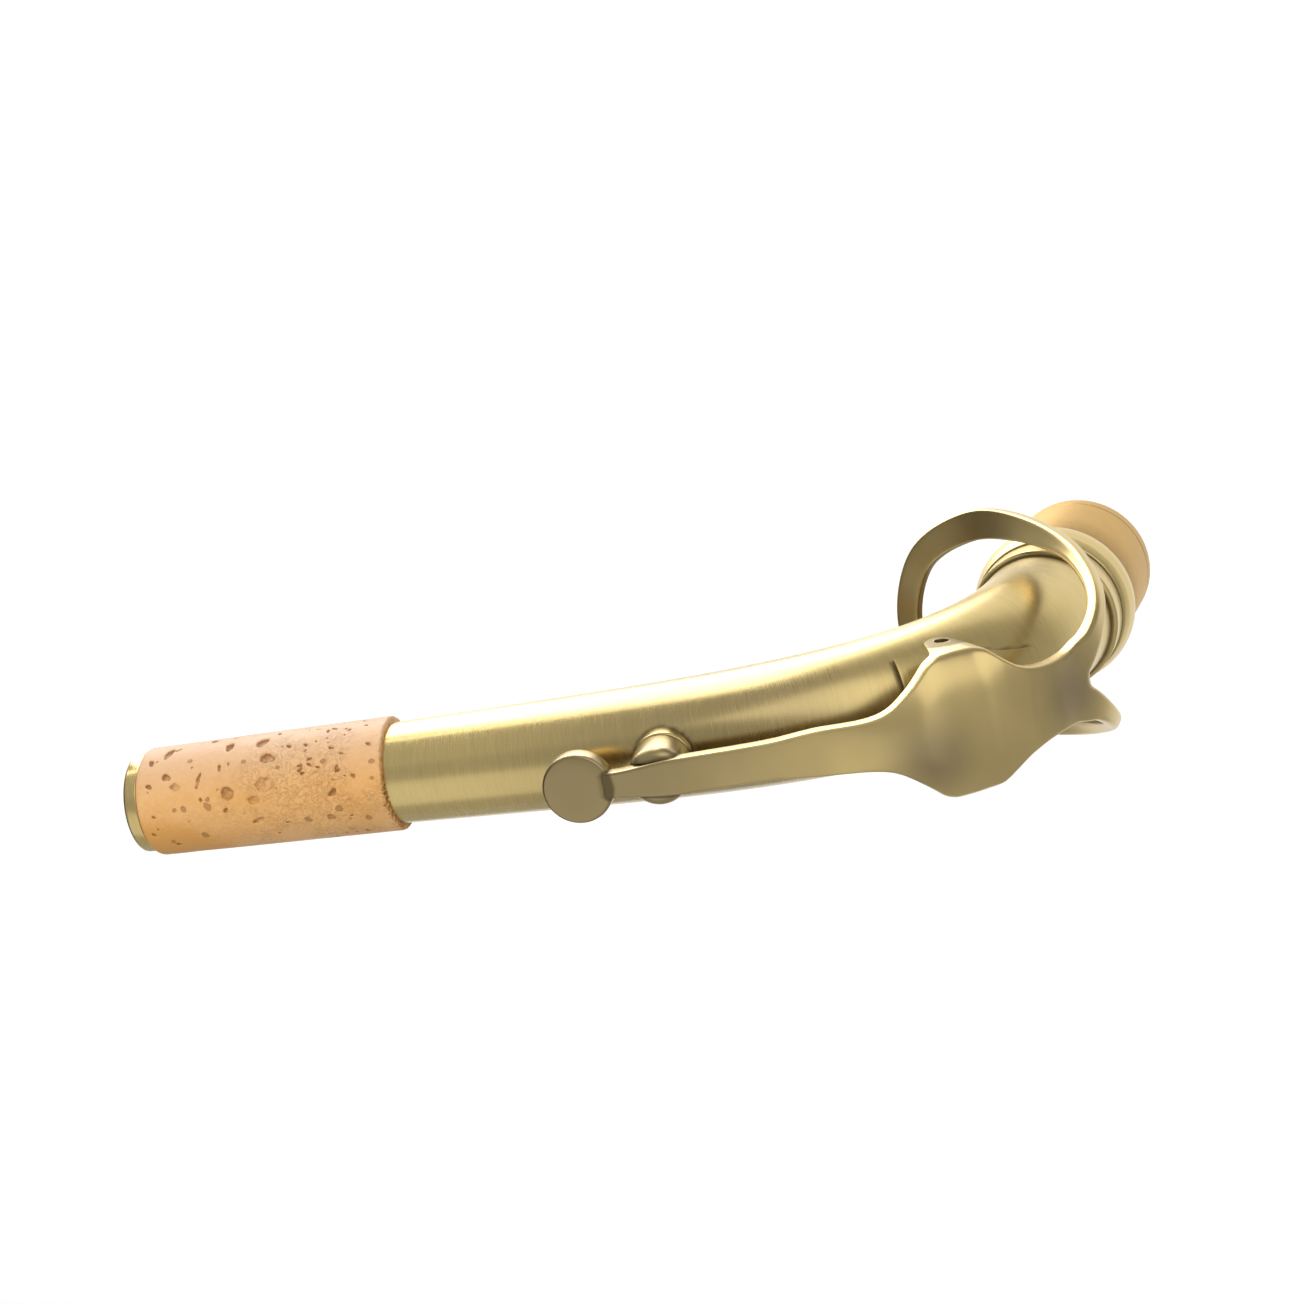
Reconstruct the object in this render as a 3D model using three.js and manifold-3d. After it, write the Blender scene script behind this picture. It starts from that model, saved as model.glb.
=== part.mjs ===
// Alto saxophone neck with its octave key.
// Millimetres. The origin is the centre of the shoulder that seats on the instrument's
// body, +Z runs up the tenon axis into the neck, +X points to the mouthpiece end, and
// the neck is symmetrical about the XZ plane.

import * as THREE from "three";
import { mergeVertices } from "three/addons/utils/BufferGeometryUtils.js";
import Module from "manifold-3d";

const wasm = await Module();
wasm.setup();

// Clearances and construction values
const jointGap = 0.3; // between pieces that are soldered, glued or seated together
const screwGap = 0.15; // round the pivot screw and the spring screw
const cutOverrun = 2; // how far a cutting solid runs past what it cuts
const roundSides = 40;
const smallSides = 20;
const weldDistance = 1e-4; // points closer than this are one point
const envelopeStep = 4.5; // between the rings of a solid that fills the tube
const cornerShare = 0.3; // where a rounded corner's middle point lies, of its radius

// Tenon and collar
const tenonRadius = 12.25;
const tenonWall = 1;
const tenonLength = 21.4;
const tenonChamfer = 0.3;
const tenonTop = 4.4;
const collarRadius = 13.41;
const collarSeatRadius = 12.95;
const collarTopRadius = 12.3;
const collarHeight = 6.4;
const collarBeadHeight = 2.74;
const beadFootShares = [0.7, 0.35]; // bead's lower point: of its reach, of its height
const beadTopShare = 0.35; // how far the bead has drawn in half way up to the top
const ferruleTop = 11.4;
const ferruleThickness = 0.5;
const ferruleChamfer = 0.3;

// Neck tube. It rises straight, then bends; the bend radius is given at three places
// one bendSpacing apart, and the tube is straight one bendSpacing after the last.
const bendStart = 7.49;
const lowBendRadius = 71.4;
const tightBendRadius = 39.8;
const highBendRadius = 102;
const bendSpacing = 33.2;
const tubeLength = 166.1;
const tubeBaseRadius = 11.05;
const tubeTipRadius = 6.88;
const tubeWall = 0.7;
const flareDepth = 0.28; // extra radius at the bottom of the bend
const flareLength = 45;
const curvedShare = 0.6; // of the tube's length, the part that bends

// Mouthpiece end
const tipRingRadius = 7.85;
const tipRingLength = 2.3;
const tipRingRound = 0.5;
const corkLength = 41.3;
const corkInnerEndRadius = 9.05;
const corkTipEndRadius = 8.72;
const corkRound = 0.9;

// Plate on the tube under the octave key's pivot
const plateThickness = 0.7;
const plateStart = 45.1; // along the tube
const plateLength = 20.5;
const plateHalfWidth = 8.4;

// Pivot
const pivotPlace = 41.1; // along the tube
const pivotHeight = 14.7; // above the tube's centreline
const barrelRadius = 2.3;
const webThickness = 3;
const webWidth = 12;
const earInset = 0.3; // running gap between the barrel's ends and the ears
const screwRadius = 1;
const screwRecess = 1.6; // depth of the screw's slotted end below the ear's face
const screwBlindWall = 0.8; // metal left outside the threaded ear's blind hole
const screwSlotWidth = 0.4;
const screwSlotDepth = 0.5;

// Octave key: arm, saddle with its ears, and bib
const keyHalfWidth = 11; // across the ears
const keyLiftShare = 1.1933; // the saddle's height, of the arm's height over the pad cup
const keyThickness = 2.4;
const keyCrown = 3; // how much lower the ears' edges lie than the saddle's middle
const keyFold = 2.6; // radius with which the saddle folds down into the ears
const keyStart = 86.6; // arm end, along the tube
const keyEnd = 27.4; // bib end, along the tube
const earThickness = 2.4;
const earBossRadius = 2.8;
const earTaper = 2.6; // how far the ear's foot widens on each side above the boss
const edgeRound = 0.35;

// Badge disc at the arm's end, left blank
const discRadius = 5.35;
const discThickness = 3.2;
const discPlace = 89.4;
const discSink = 0.2; // of its face below the arm's outer face
const discRound = 0.7;
const discTilt = 0.02; // leans this far from the tube's own normal, in radians

// Pad cup, pad and octave pip
const pipPlace = 78.6;
const pipRadius = 1.7;
const pipBoreRadius = 0.8;
const pipDepth = 3.2; // reach below the tube's outer surface
const pipRise = 2.05; // above the tube's outer surface
const flangeRadius = 4.6;
const flangeRise = 1.7;
const cupRadius = 4.5;
const cupWall = 0.6;
const cupRoof = 1.625; // metal between the pad and the arm's groove
const cupRise = 2.03; // of the cup's crown beside the arm, above the arm's underside
const cupShoulder = 1.5;
const padThickness = 2.4;

// Ring of the octave key. Half of its centreline, from the far side at the mouthpiece
// end's side round to the bib; the other half is its mirror image.
const ringReach = 24.3; // far side, from the tenon axis
const ringHalfWidth = 16.9;
const ringFarWidth = 4.2;
const ringBibWidth = 1.9;
const ringFarThickness = 1.8;
const ringBibThickness = 4.6;
const ringCentre = 4; // the ring's middle, from the tenon axis along X
const ringFarTilt = -0.32; // radians, tilt of the strap's face at the far side
const ringBibTilt = 0.62; // and where it meets the bib
const ringRound = 0.35;
const ringTiltShares = [0.3, 0.95]; // of the way round from the far side to the bib,
const ringWidthShares = [0.15, 0.85]; // where each of these begins and ends its change
const ringThicknessShares = [0.1, 0.9];

// Flat spring under the saddle, with its screw
const springWidth = 3.6;
const springThickness = 0.5;
const springStart = 40.2; // fixed end, along the tube
const springBend = 36.4; // where it leaves the saddle
const springTip = 31.2; // free end, along the tube
const springScrewPlace = 38.4;
const springScrewRadius = 0.8;
const springHeadRadius = 1.5;
const springHeadHeight = 0.9;
const springScrewDepth = 1.5; // into the saddle

// Colours and finishes
const brass = { color: 0xb3a15e, roughness: 0.38, metalness: 1 };
const keyBrass = { color: 0xa08f5c, roughness: 0.42, metalness: 1 };
const rawBrass = { color: 0xc79a4e, roughness: 0.5, metalness: 1 };
const corkLook = { color: 0xd9a066, roughness: 0.9, metalness: 0 };
const leather = { color: 0x8a5a36, roughness: 0.8, metalness: 0 };
const steel = { color: 0x8c8c8c, roughness: 0.35, metalness: 1 };
const blueSteel = { color: 0x4d5663, roughness: 0.3, metalness: 1 };

// The neck's centreline
const bends = [1 / lowBendRadius, 1 / tightBendRadius, 1 / highBendRadius, 0];
const clampShare = (share) => Math.min(Math.max(share, 0), 1);

// Angle of the tube from the tenon axis at a place along it.
function heading(place) {
  let angle = 0;
  for (let i = 0; i < bends.length - 1; i++) {
    const share = clampShare(place / bendSpacing - i);
    angle += bendSpacing * (bends[i] * share + ((bends[i + 1] - bends[i]) * share ** 2) / 2);
  }
  return angle;
}

const centreSteps = 400;
const centreTable = [new THREE.Vector3(0, 0, bendStart)];
for (let i = 0; i < centreSteps; i++) {
  const step = tubeLength / centreSteps;
  const angle = heading((i + 0.5) * step);
  const move = new THREE.Vector3(Math.sin(angle), 0, Math.cos(angle)).multiplyScalar(step);
  centreTable.push(centreTable[i].clone().add(move));
}

// Point on the centreline; places before zero lie on the straight part below the bend.
function centre(place) {
  if (place <= 0) {
    return new THREE.Vector3(0, 0, bendStart + place);
  }
  const at = (place / tubeLength) * centreSteps;
  const index = Math.min(Math.floor(at), centreSteps - 1);
  return centreTable[index].clone().lerp(centreTable[index + 1], at - index);
}

const tangent = (place) => new THREE.Vector3(Math.sin(heading(place)), 0, Math.cos(heading(place)));
const outward = (place) => new THREE.Vector3(-Math.cos(heading(place)), 0, Math.sin(heading(place)));
const across = new THREE.Vector3(0, 1, 0);

// Point at a height outside the centreline, and to one side of the symmetry plane.
function onNeck(place, height, side = 0) {
  const point = centre(place).addScaledVector(outward(place), height);
  point.y += side;
  return point;
}

function tubeRadius(place) {
  const along = Math.max(place, 0);
  const flare = flareDepth * Math.max(0, 1 - along / flareLength) ** 2;
  return tubeBaseRadius + ((tubeTipRadius - tubeBaseRadius) * along) / tubeLength + flare;
}

// Shared geometry helpers

// Closed body through rings of points. With loop, the last ring joins the first.
function skin(rings, loop = false) {
  const count = rings[0].length;
  const points = rings.flat();
  const faces = [];
  const last = loop ? rings.length : rings.length - 1;
  for (let i = 0; i < last; i++) {
    const here = i * count;
    const next = ((i + 1) % rings.length) * count;
    for (let j = 0; j < count; j++) {
      const k = (j + 1) % count;
      faces.push(here + j, next + j, next + k, here + j, next + k, here + k);
    }
  }
  if (!loop) {
    for (const [start, flip] of [[0, false], [(rings.length - 1) * count, true]]) {
      const outline = points.slice(start, start + count);
      const middle = points.length;
      const sum = outline.reduce((total, point) => total.add(point), new THREE.Vector3());
      points.push(sum.divideScalar(count));
      for (let j = 0; j < count; j++) {
        const k = (j + 1) % count;
        faces.push(...(flip ? [start + k, start + j, middle] : [start + j, start + k, middle]));
      }
    }
  }
  const geometry = new THREE.BufferGeometry();
  geometry.setAttribute("position", new THREE.Float32BufferAttribute(points.flatMap((p) => p.toArray()), 3));
  geometry.setIndex(faces);
  return facingOut(geometry);
}

function signedVolume(geometry) {
  const position = geometry.getAttribute("position");
  const index = geometry.index.array;
  const [a, b, c] = [new THREE.Vector3(), new THREE.Vector3(), new THREE.Vector3()];
  let total = 0;
  for (let i = 0; i < index.length; i += 3) {
    a.fromBufferAttribute(position, index[i]);
    b.fromBufferAttribute(position, index[i + 1]);
    c.fromBufferAttribute(position, index[i + 2]);
    total += a.dot(b.cross(c));
  }
  return total;
}

// Welds the vertices and turns the faces outwards.
function facingOut(geometry) {
  const bare = geometry.clone();
  bare.deleteAttribute("normal");
  bare.deleteAttribute("uv");
  const welded = mergeVertices(bare, weldDistance);
  const index = Array.from(welded.index.array);
  const kept = [];
  for (let i = 0; i < index.length; i += 3) {
    const [a, b, c] = index.slice(i, i + 3);
    if (a !== b && b !== c && c !== a) {
      kept.push(a, b, c);
    }
  }
  welded.setIndex(kept);
  if (signedVolume(welded) < 0) {
    for (let i = 0; i < kept.length; i += 3) {
      [kept[i + 1], kept[i + 2]] = [kept[i + 2], kept[i + 1]];
    }
    welded.setIndex(kept);
  }
  return welded;
}

// Ring-shaped or solid body whose [place, radius] profile is turned round the tube's
// own bent centreline.
function turnedOnNeck(profile, loop, sides = roundSides) {
  const rings = profile.map(([place, radius]) => {
    const ring = [];
    for (let j = 0; j < sides; j++) {
      const angle = (2 * Math.PI * j) / sides;
      ring.push(onNeck(place, radius * Math.cos(angle), radius * Math.sin(angle)));
    }
    return ring;
  });
  return skin(rings, loop);
}

// Body turned round the +Z axis from a closed [radius, height] profile.
function turned(profile, sides = roundSides) {
  const closed = [...profile, profile[0]].map(([radius, height]) => new THREE.Vector2(radius, height));
  const geometry = new THREE.LatheGeometry(closed, sides);
  geometry.rotateX(Math.PI / 2);
  return facingOut(geometry);
}

// Moves a body that was made round +Z to a place on the neck, with +Z outwards.
function standOnNeck(geometry, place, lean = 0) {
  const up = outward(place);
  const placed = new THREE.Matrix4().makeBasis(across.clone().cross(up), across, up);
  placed.setPosition(centre(place));
  placed.multiply(new THREE.Matrix4().makeRotationY(lean));
  return facingOut(geometry.clone().applyMatrix4(placed));
}

function cylinder(radius, bottom, top, sides = smallSides) {
  const geometry = new THREE.CylinderGeometry(radius, radius, top - bottom, sides);
  geometry.rotateX(Math.PI / 2);
  geometry.translate(0, 0, (bottom + top) / 2);
  return facingOut(geometry);
}

// Cylinder along Y at the pivot axis.
function pivotRod(radius, left, right, sides = smallSides) {
  const geometry = new THREE.CylinderGeometry(radius, radius, right - left, sides);
  const axis = onNeck(pivotPlace, pivotHeight);
  geometry.translate(axis.x, (left + right) / 2, axis.z);
  return facingOut(geometry);
}

function toSolid(geometry) {
  const position = geometry.getAttribute("position");
  return new wasm.Manifold(new wasm.Mesh({
    numProp: 3,
    vertProperties: new Float32Array(position.array),
    triVerts: new Uint32Array(geometry.index.array),
  }));
}

function toGeometry(solid) {
  const mesh = solid.getMesh();
  const geometry = new THREE.BufferGeometry();
  geometry.setAttribute("position", new THREE.BufferAttribute(new Float32Array(mesh.vertProperties), 3));
  geometry.setIndex(Array.from(mesh.triVerts));
  return facingOut(geometry);
}

const joined = (body, ...others) => toGeometry(
  others.reduce((sum, next) => sum.add(toSolid(next)), toSolid(body)));
const cut = (body, ...tools) => toGeometry(
  tools.reduce((left, tool) => left.subtract(toSolid(tool)), toSolid(body)));

const neck = new THREE.Group();

function addPiece(name, geometry, look) {
  const shaded = geometry.clone();
  shaded.computeVertexNormals();
  const mesh = new THREE.Mesh(shaded, new THREE.MeshStandardMaterial(look));
  mesh.name = name;
  neck.add(mesh);
}

// Evenly spaced values, both ends included
const spread = (from, to, count) => Array.from(
  { length: count }, (_, i) => from + ((to - from) * i) / (count - 1));

// Tenon
const tenonBore = tenonRadius - tenonWall;
addPiece("tenon_sleeve", turned([
  [tenonBore, tenonTop],
  [tenonBore, -tenonLength + tenonChamfer],
  [tenonBore + tenonChamfer / 2, -tenonLength],
  [tenonRadius - tenonChamfer, -tenonLength],
  [tenonRadius, -tenonLength + tenonChamfer],
  [tenonRadius, tenonTop],
]), rawBrass);

// Collar: bead that seats on the body, stepped inside over the tenon's top
const collarBore = tenonRadius + jointGap;
const beadReach = collarRadius - collarSeatRadius;
const collarThroat = tubeRadius(0) + jointGap;
const collarStep = tenonTop + jointGap;
addPiece("tenon_collar", turned([
  [collarBore, 0],
  [collarSeatRadius, 0],
  [collarSeatRadius + beadReach * beadFootShares[0], collarBeadHeight * beadFootShares[1]],
  [collarRadius, collarBeadHeight],
  [collarRadius - (collarRadius - collarTopRadius) * beadTopShare, (collarBeadHeight + collarHeight) / 2],
  [collarTopRadius, collarHeight],
  [collarThroat, collarHeight],
  [collarThroat, collarStep],
  [collarBore, collarStep],
]), brass);

// Ferrule round the tube's foot
const ferruleBottom = collarHeight + jointGap;
const ferruleBore = tubeRadius(0) + jointGap;
const ferruleOuter = ferruleBore + ferruleThickness;
addPiece("neck_ferrule", turned([
  [ferruleBore, ferruleBottom],
  [ferruleOuter, ferruleBottom],
  [ferruleOuter, ferruleTop - ferruleChamfer],
  [ferruleOuter - ferruleChamfer, ferruleTop],
  [ferruleBore, ferruleTop],
]), brass);

// Tube, with the hole for the octave pip
const tubeBottom = collarStep - bendStart;
const curvedLength = curvedShare * tubeLength;
const tubePlaces = (curved, straight) => [
  tubeBottom, ...spread(0, curvedLength, curved), ...spread(curvedLength, tubeLength, straight).slice(1)];
const tubeOutline = [
  ...tubePlaces(24, 5).map((place) => [place, tubeRadius(place)]),
  ...tubePlaces(15, 4).reverse().map((place) => [place, tubeRadius(place) - tubeWall]),
];
const pipHole = standOnNeck(cylinder(pipRadius + jointGap, 0, tubeBaseRadius + cutOverrun), pipPlace);
addPiece("neck_tube", cut(turnedOnNeck(tubeOutline, true), pipHole), brass);

// Solid that fills the tube, for cutting: out to a distance from its surface, and a
// reach either way from a place.
function neckEnvelope(distance, middle, reach) {
  const stations = spread(middle - reach, middle + reach, Math.ceil((2 * reach) / envelopeStep) + 2);
  return turnedOnNeck(stations.map((place) => [place, tubeRadius(place) + distance]), false);
}

// Tip ring and cork
const ringStart = tubeLength - tipRingLength;
const tipRingBore = (place) => tubeRadius(place) + jointGap;
addPiece("tip_ring", turnedOnNeck([
  [tubeLength, tipRingBore(tubeLength)],
  [tubeLength, tipRingRadius - tipRingRound],
  [tubeLength - tipRingRound, tipRingRadius],
  [ringStart + tipRingRound, tipRingRadius],
  [ringStart, tipRingRadius - tipRingRound],
  [ringStart, tipRingBore(ringStart)],
], true), brass);

const corkTip = ringStart - jointGap;
const corkInner = corkTip - corkLength;
const corkRadius = (place) => corkInnerEndRadius
  + ((corkTipEndRadius - corkInnerEndRadius) * (place - corkInner)) / corkLength;
addPiece("neck_cork", turnedOnNeck([
  [corkInner, tubeRadius(corkInner) + jointGap],
  [corkInner, corkRadius(corkInner) - edgeRound],
  [corkInner + edgeRound, corkRadius(corkInner)],
  [corkTip - corkRound, corkRadius(corkTip)],
  [corkTip - corkRound * cornerShare, corkRadius(corkTip) - corkRound * cornerShare],
  [corkTip, corkRadius(corkTip) - corkRound],
  [corkTip, tubeRadius(corkTip) + jointGap],
], true), corkLook);

// Plate soldered on the tube, with a rounded tongue under the spring
// [distance from its front edge, half width] as shares of its length and half width
const plateShares = [
  [0, 1], [0.2, 1], [0.35, 1], [0.46, 0.93], [0.57, 0.75], [0.67, 0.61],
  [0.81, 0.5], [0.92, 0.44], [0.97, 0.33], [1, 0.14],
];
const plateTop = (place) => tubeRadius(place) + jointGap + plateThickness;
const plateAcrossShares = spread(-1, 1, 11);
addPiece("saddle_plate", skin(plateShares.map(([along, wide]) => {
  const place = plateStart - along * plateLength;
  const bottom = tubeRadius(place) + jointGap;
  const halfAngle = (wide * plateHalfWidth) / bottom;
  const arc = (radius, shares) => shares.map((share) => onNeck(
    place, radius * Math.cos(share * halfAngle), radius * Math.sin(share * halfAngle)));
  return [...arc(plateTop(place), plateAcrossShares), ...arc(bottom, [...plateAcrossShares].reverse())];
})), brass);

// Pivot post: a barrel on a web that stands on the plate
const barrelHalf = keyHalfWidth - earThickness - earInset;
const webSolid = new THREE.BoxGeometry(webThickness, webWidth, pivotHeight);
webSolid.translate(0, 0, pivotHeight / 2);
const postBlank = joined(
  pivotRod(barrelRadius, -barrelHalf, barrelHalf, smallSides),
  standOnNeck(facingOut(webSolid), pivotPlace),
);
addPiece("pivot_post", cut(
  postBlank,
  neckEnvelope(plateThickness + 2 * jointGap, pivotPlace, webThickness + cutOverrun),
  pivotRod(screwRadius + screwGap, -keyHalfWidth, keyHalfWidth),
), brass);

// Pivot screw: slotted end in the left ear's recess, threaded end in the right ear
const screwLeft = -keyHalfWidth + screwRecess;
const screwRight = keyHalfWidth - screwBlindWall - screwGap;
const slotTool = new THREE.BoxGeometry(screwSlotWidth, 2 * screwSlotDepth, 2 * screwRadius + cutOverrun);
const pivotAxis = onNeck(pivotPlace, pivotHeight);
slotTool.translate(pivotAxis.x, screwLeft, pivotAxis.z);
addPiece("hinge_screw", cut(pivotRod(screwRadius, screwLeft, screwRight), facingOut(slotTool)), steel);

// Heights over the pip, from the tube's surface up to the arm's outer face
const surface = tubeRadius(pipPlace);
const padBottom = surface + pipRise + jointGap;
const padTop = padBottom + padThickness;
const cupCeiling = padTop + jointGap;
const armUnderside = cupCeiling + cupRoof + 2 * jointGap;
const keyHeight = (armUnderside + edgeRound + keyThickness) * keyLiftShare;

// Octave key, from the arm's end over the saddle with its ears to the bib
// [distance from the arm's end, half width, height, fold, crown] as shares of the key's
// length, half width, height, fold radius and crown
const keyShares = [
  [0, 0.18, 0.832, 0.13, 0], [0.04, 0.18, 0.834, 0.13, 0], [0.09, 0.21, 0.838, 0.13, 0],
  [0.17, 0.255, 0.832, 0.13, 0], [0.27, 0.255, 0.82, 0.13, 0], [0.38, 0.265, 0.825, 0.13, 0],
  [0.48, 0.325, 0.86, 0.15, 0], [0.55, 0.34, 0.92, 0.18, 0.02], [0.6, 0.4, 0.975, 0.2, 0.08],
  [0.64, 0.6, 1.01, 0.25, 0.25], [0.67, 0.84, 1.025, 0.3, 0.6], [0.698, 1, 1.035, 0.35, 0.9],
  [0.74, 1, 1.04, 0.35, 1], [0.775, 0.99, 1.045, 0.35, 1], [0.798, 0.95, 1.05, 0.3, 0.8],
  [0.821, 0.75, 1.055, 0.25, 0.35], [0.85, 0.56, 1.06, 0.2, 0.1], [0.88, 0.49, 1.05, 0.2, 0.05],
  [0.92, 0.47, 1.03, 0.2, 0.05], [0.96, 0.49, 1.004, 0.2, 0.05], [1, 0.61, 0.995, 0.2, 0.05],
];
const acrossShares = [0, 0.35, 0.7, 1]; // of the way from the middle to the fold
const keyLength = keyStart - keyEnd;

// Value of one column of the key's shares at a share of its length.
function keyShareAt(along, column) {
  const next = Math.max(1, keyShares.findIndex((row) => row[0] >= along));
  const [before, after] = [keyShares[next - 1], keyShares[next]];
  const blend = clampShare((along - before[0]) / (after[0] - before[0]));
  return before[column] + (after[column] - before[column]) * blend;
}

// Closed body under the key's outer face, down to a given depth below it. The face is
// crowned, and its edges fold down with the radius that the shares give.
function underOuterFace(depth) {
  return skin(keyShares.map(([along, wide, high, folded, crowned]) => {
    const place = keyStart - along * keyLength;
    const half = wide * keyHalfWidth;
    const fold = folded * keyFold;
    const crown = (side) => crowned * keyCrown * (side / half) ** 2;
    const bottom = Math.max(depth, fold + edgeRound);
    const outer = acrossShares.map((share) => share * (half - fold)).map((side) => [side, crown(side)]);
    for (const turn of [Math.PI / 6, Math.PI / 3, Math.PI / 2]) {
      const side = half - fold + fold * Math.sin(turn);
      outer.push([side, crown(side) + fold - fold * Math.cos(turn)]);
    }
    const foot = half - Math.max(fold, edgeRound);
    const inner = [[half, bottom], [foot, bottom], [half / 2, depth]]
      .map(([side, drop]) => [side, drop + crown(side)]);
    const right = [...outer, ...inner];
    const left = right.slice(1).reverse().map(([side, drop]) => [-side, drop]);
    return [...right, [0, depth], ...left].map(([side, drop]) => onNeck(place, high * keyHeight - drop, side));
  }));
}

// Ears: walls that reach down from the folded edges to a boss round the pivot
const earTop = keyHeight - pivotHeight;
const earOutline = new THREE.Shape();
earOutline.absarc(0, 0, earBossRadius, Math.PI, 2 * Math.PI);
earOutline.lineTo(earBossRadius + earTaper, earTop);
earOutline.lineTo(-earBossRadius - earTaper, earTop);
function ear(outerSide) {
  const blank = new THREE.ExtrudeGeometry(earOutline, { depth: earThickness, bevelEnabled: false });
  const placed = new THREE.Matrix4().makeBasis(
    tangent(pivotPlace), outward(pivotPlace), across.clone().negate());
  placed.setPosition(onNeck(pivotPlace, pivotHeight, outerSide));
  return facingOut(blank.applyMatrix4(placed));
}
const underFace = toSolid(underOuterFace(keyHeight - pivotHeight + earBossRadius));
const ears = [keyHalfWidth, earThickness - keyHalfWidth]
  .map((side) => toGeometry(toSolid(ear(side)).intersect(underFace)));
const saddleBlank = joined(underOuterFace(keyThickness), ...ears);

const discHeight = keyShareAt(0, 2) * keyHeight - discSink;
const discBottom = discHeight - discThickness;
const discBlank = cylinder(discRadius + jointGap, discBottom - cutOverrun, discHeight + cutOverrun, roundSides);
const discTool = standOnNeck(discBlank, discPlace, discTilt);

// Flat spring: fixed under the bib, bowed down to the plate's tongue
const bibUnderside = (place) => keyShareAt((keyStart - place) / keyLength, 2) * keyHeight - keyThickness;
const springTop = (place) => {
  if (place >= springBend) {
    return bibUnderside(place) - jointGap;
  }
  const bow = (springBend - place) / (springBend - springTip);
  const low = plateTop(springTip) + jointGap + springThickness;
  const high = bibUnderside(springBend) - jointGap;
  return high + (low - high) * Math.sin((bow * Math.PI) / 2) ** 2;
};
const springPlaces = [springStart, springScrewPlace, ...spread(springBend, springTip, 9)];
const springBlank = skin(springPlaces.map((place) => {
  const half = springWidth / 2;
  const top = springTop(place);
  return [[half, 0], [-half, 0], [-half, springThickness], [half, springThickness]]
    .map(([side, drop]) => onNeck(place, top - drop, side));
}));
const screwHoleTop = bibUnderside(springScrewPlace) + springScrewDepth;
const springScrewHole = (clearance) => standOnNeck(
  cylinder(springScrewRadius + clearance, springTop(springTip), screwHoleTop + clearance), springScrewPlace);
addPiece("flat_spring", cut(springBlank, springScrewHole(screwGap)), blueSteel);

const springHeadTop = springTop(springScrewPlace) - springThickness - jointGap;
addPiece("spring_screw", standOnNeck(joined(
  cylinder(springHeadRadius, springHeadTop - springHeadHeight, springHeadTop),
  cylinder(springScrewRadius, springHeadTop - springHeadHeight / 2, screwHoleTop),
), springScrewPlace), steel);

// Saddle with its cuts: the disc's seat, the pivot hole and the spring screw's hole
addPiece("key_saddle", cut(
  saddleBlank,
  discTool,
  pivotRod(screwRadius + screwGap, -keyHalfWidth - cutOverrun, screwRight + screwGap),
  springScrewHole(screwGap),
), keyBrass);

addPiece("badge_disc", standOnNeck(turned([
  [0, discBottom],
  [discRadius - discRound, discBottom],
  [discRadius, discBottom + discRound],
  [discRadius, discHeight - discRound],
  [discRadius - discRound * cornerShare, discHeight - discRound * cornerShare],
  [discRadius - discRound, discHeight],
  [0, discHeight],
]), discPlace, discTilt), keyBrass);

// Octave pip with its flange on the tube
addPiece("octave_pip", standOnNeck(turned([
  [pipBoreRadius, surface - pipDepth],
  [pipRadius, surface - pipDepth],
  [pipRadius, surface + pipRise],
  [pipBoreRadius, surface + pipRise],
], smallSides), pipPlace), brass);

const neckNearPip = neckEnvelope(jointGap, pipPlace, flangeRadius + cutOverrun);
addPiece("pip_flange", cut(
  standOnNeck(cylinder(flangeRadius, surface / 2, surface + flangeRise, roundSides), pipPlace),
  neckNearPip,
  standOnNeck(cylinder(pipRadius + jointGap, 0, surface + flangeRise + cutOverrun), pipPlace),
), brass);

// Pad and pad cup; the cup is grooved across its top for the arm
const padRadius = cupRadius - cupWall - jointGap;
addPiece("octave_pad", standOnNeck(cylinder(padRadius, padBottom, padTop, roundSides), pipPlace), leather);

const cupCrown = armUnderside + cupRise;
const cupBlank = standOnNeck(turned([
  [0, cupCeiling],
  [cupRadius - cupWall, cupCeiling],
  [cupRadius - cupWall, padBottom + jointGap / 2],
  [cupRadius, padBottom + jointGap / 2],
  [cupRadius, cupCrown - cupShoulder],
  [cupRadius - cupShoulder * cornerShare, cupCrown - cupShoulder * cornerShare],
  [cupRadius - cupShoulder, cupCrown],
  [0, cupCrown],
], roundSides), pipPlace);
const armAtCup = (keyStart - pipPlace) / keyLength;
const armHalf = keyShareAt(armAtCup, 1) * keyHalfWidth;
const armTool = new THREE.BoxGeometry(
  2 * (cupRadius + cutOverrun), 2 * (armHalf + jointGap), 2 * keyThickness + cutOverrun);
armTool.translate(0, 0, armUnderside - 2 * jointGap + keyThickness + cutOverrun / 2);
addPiece("pad_cup", cut(cupBlank, standOnNeck(facingOut(armTool), pipPlace)), keyBrass);

// Ring of the octave key
// [x, y, z] of half the centreline, as shares of its reach, half width and the height of
// the bib's end; behind the tenon's axis x is a share of how far back the bib's end lies
const ringShares = [
  [1, 0, 0.142], [0.856, 0.669, 0.117], [0.44, 0.994, 0.171], [0, 1, 0.316],
  [-0.72, 0.843, 0.541], [-1.114, 0.566, 0.8], [-1.042, 0.217, 1.049], [-0.818, -0.02, 1.238],
];
const bibEnd = onNeck(keyEnd, keyShareAt(1, 2) * keyHeight - keyThickness / 2);
const halfPath = ringShares.map(([x, y, z]) => new THREE.Vector3(
  x * (x < 0 ? -bibEnd.x : ringReach), y * ringHalfWidth, z * bibEnd.z));
const mirrored = halfPath.slice(1).reverse().map((point) => new THREE.Vector3(point.x, -point.y, point.z));
const ringPath = new THREE.CatmullRomCurve3([...mirrored, ...halfPath], false, "centripetal");
const ringSteps = 72;
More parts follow.
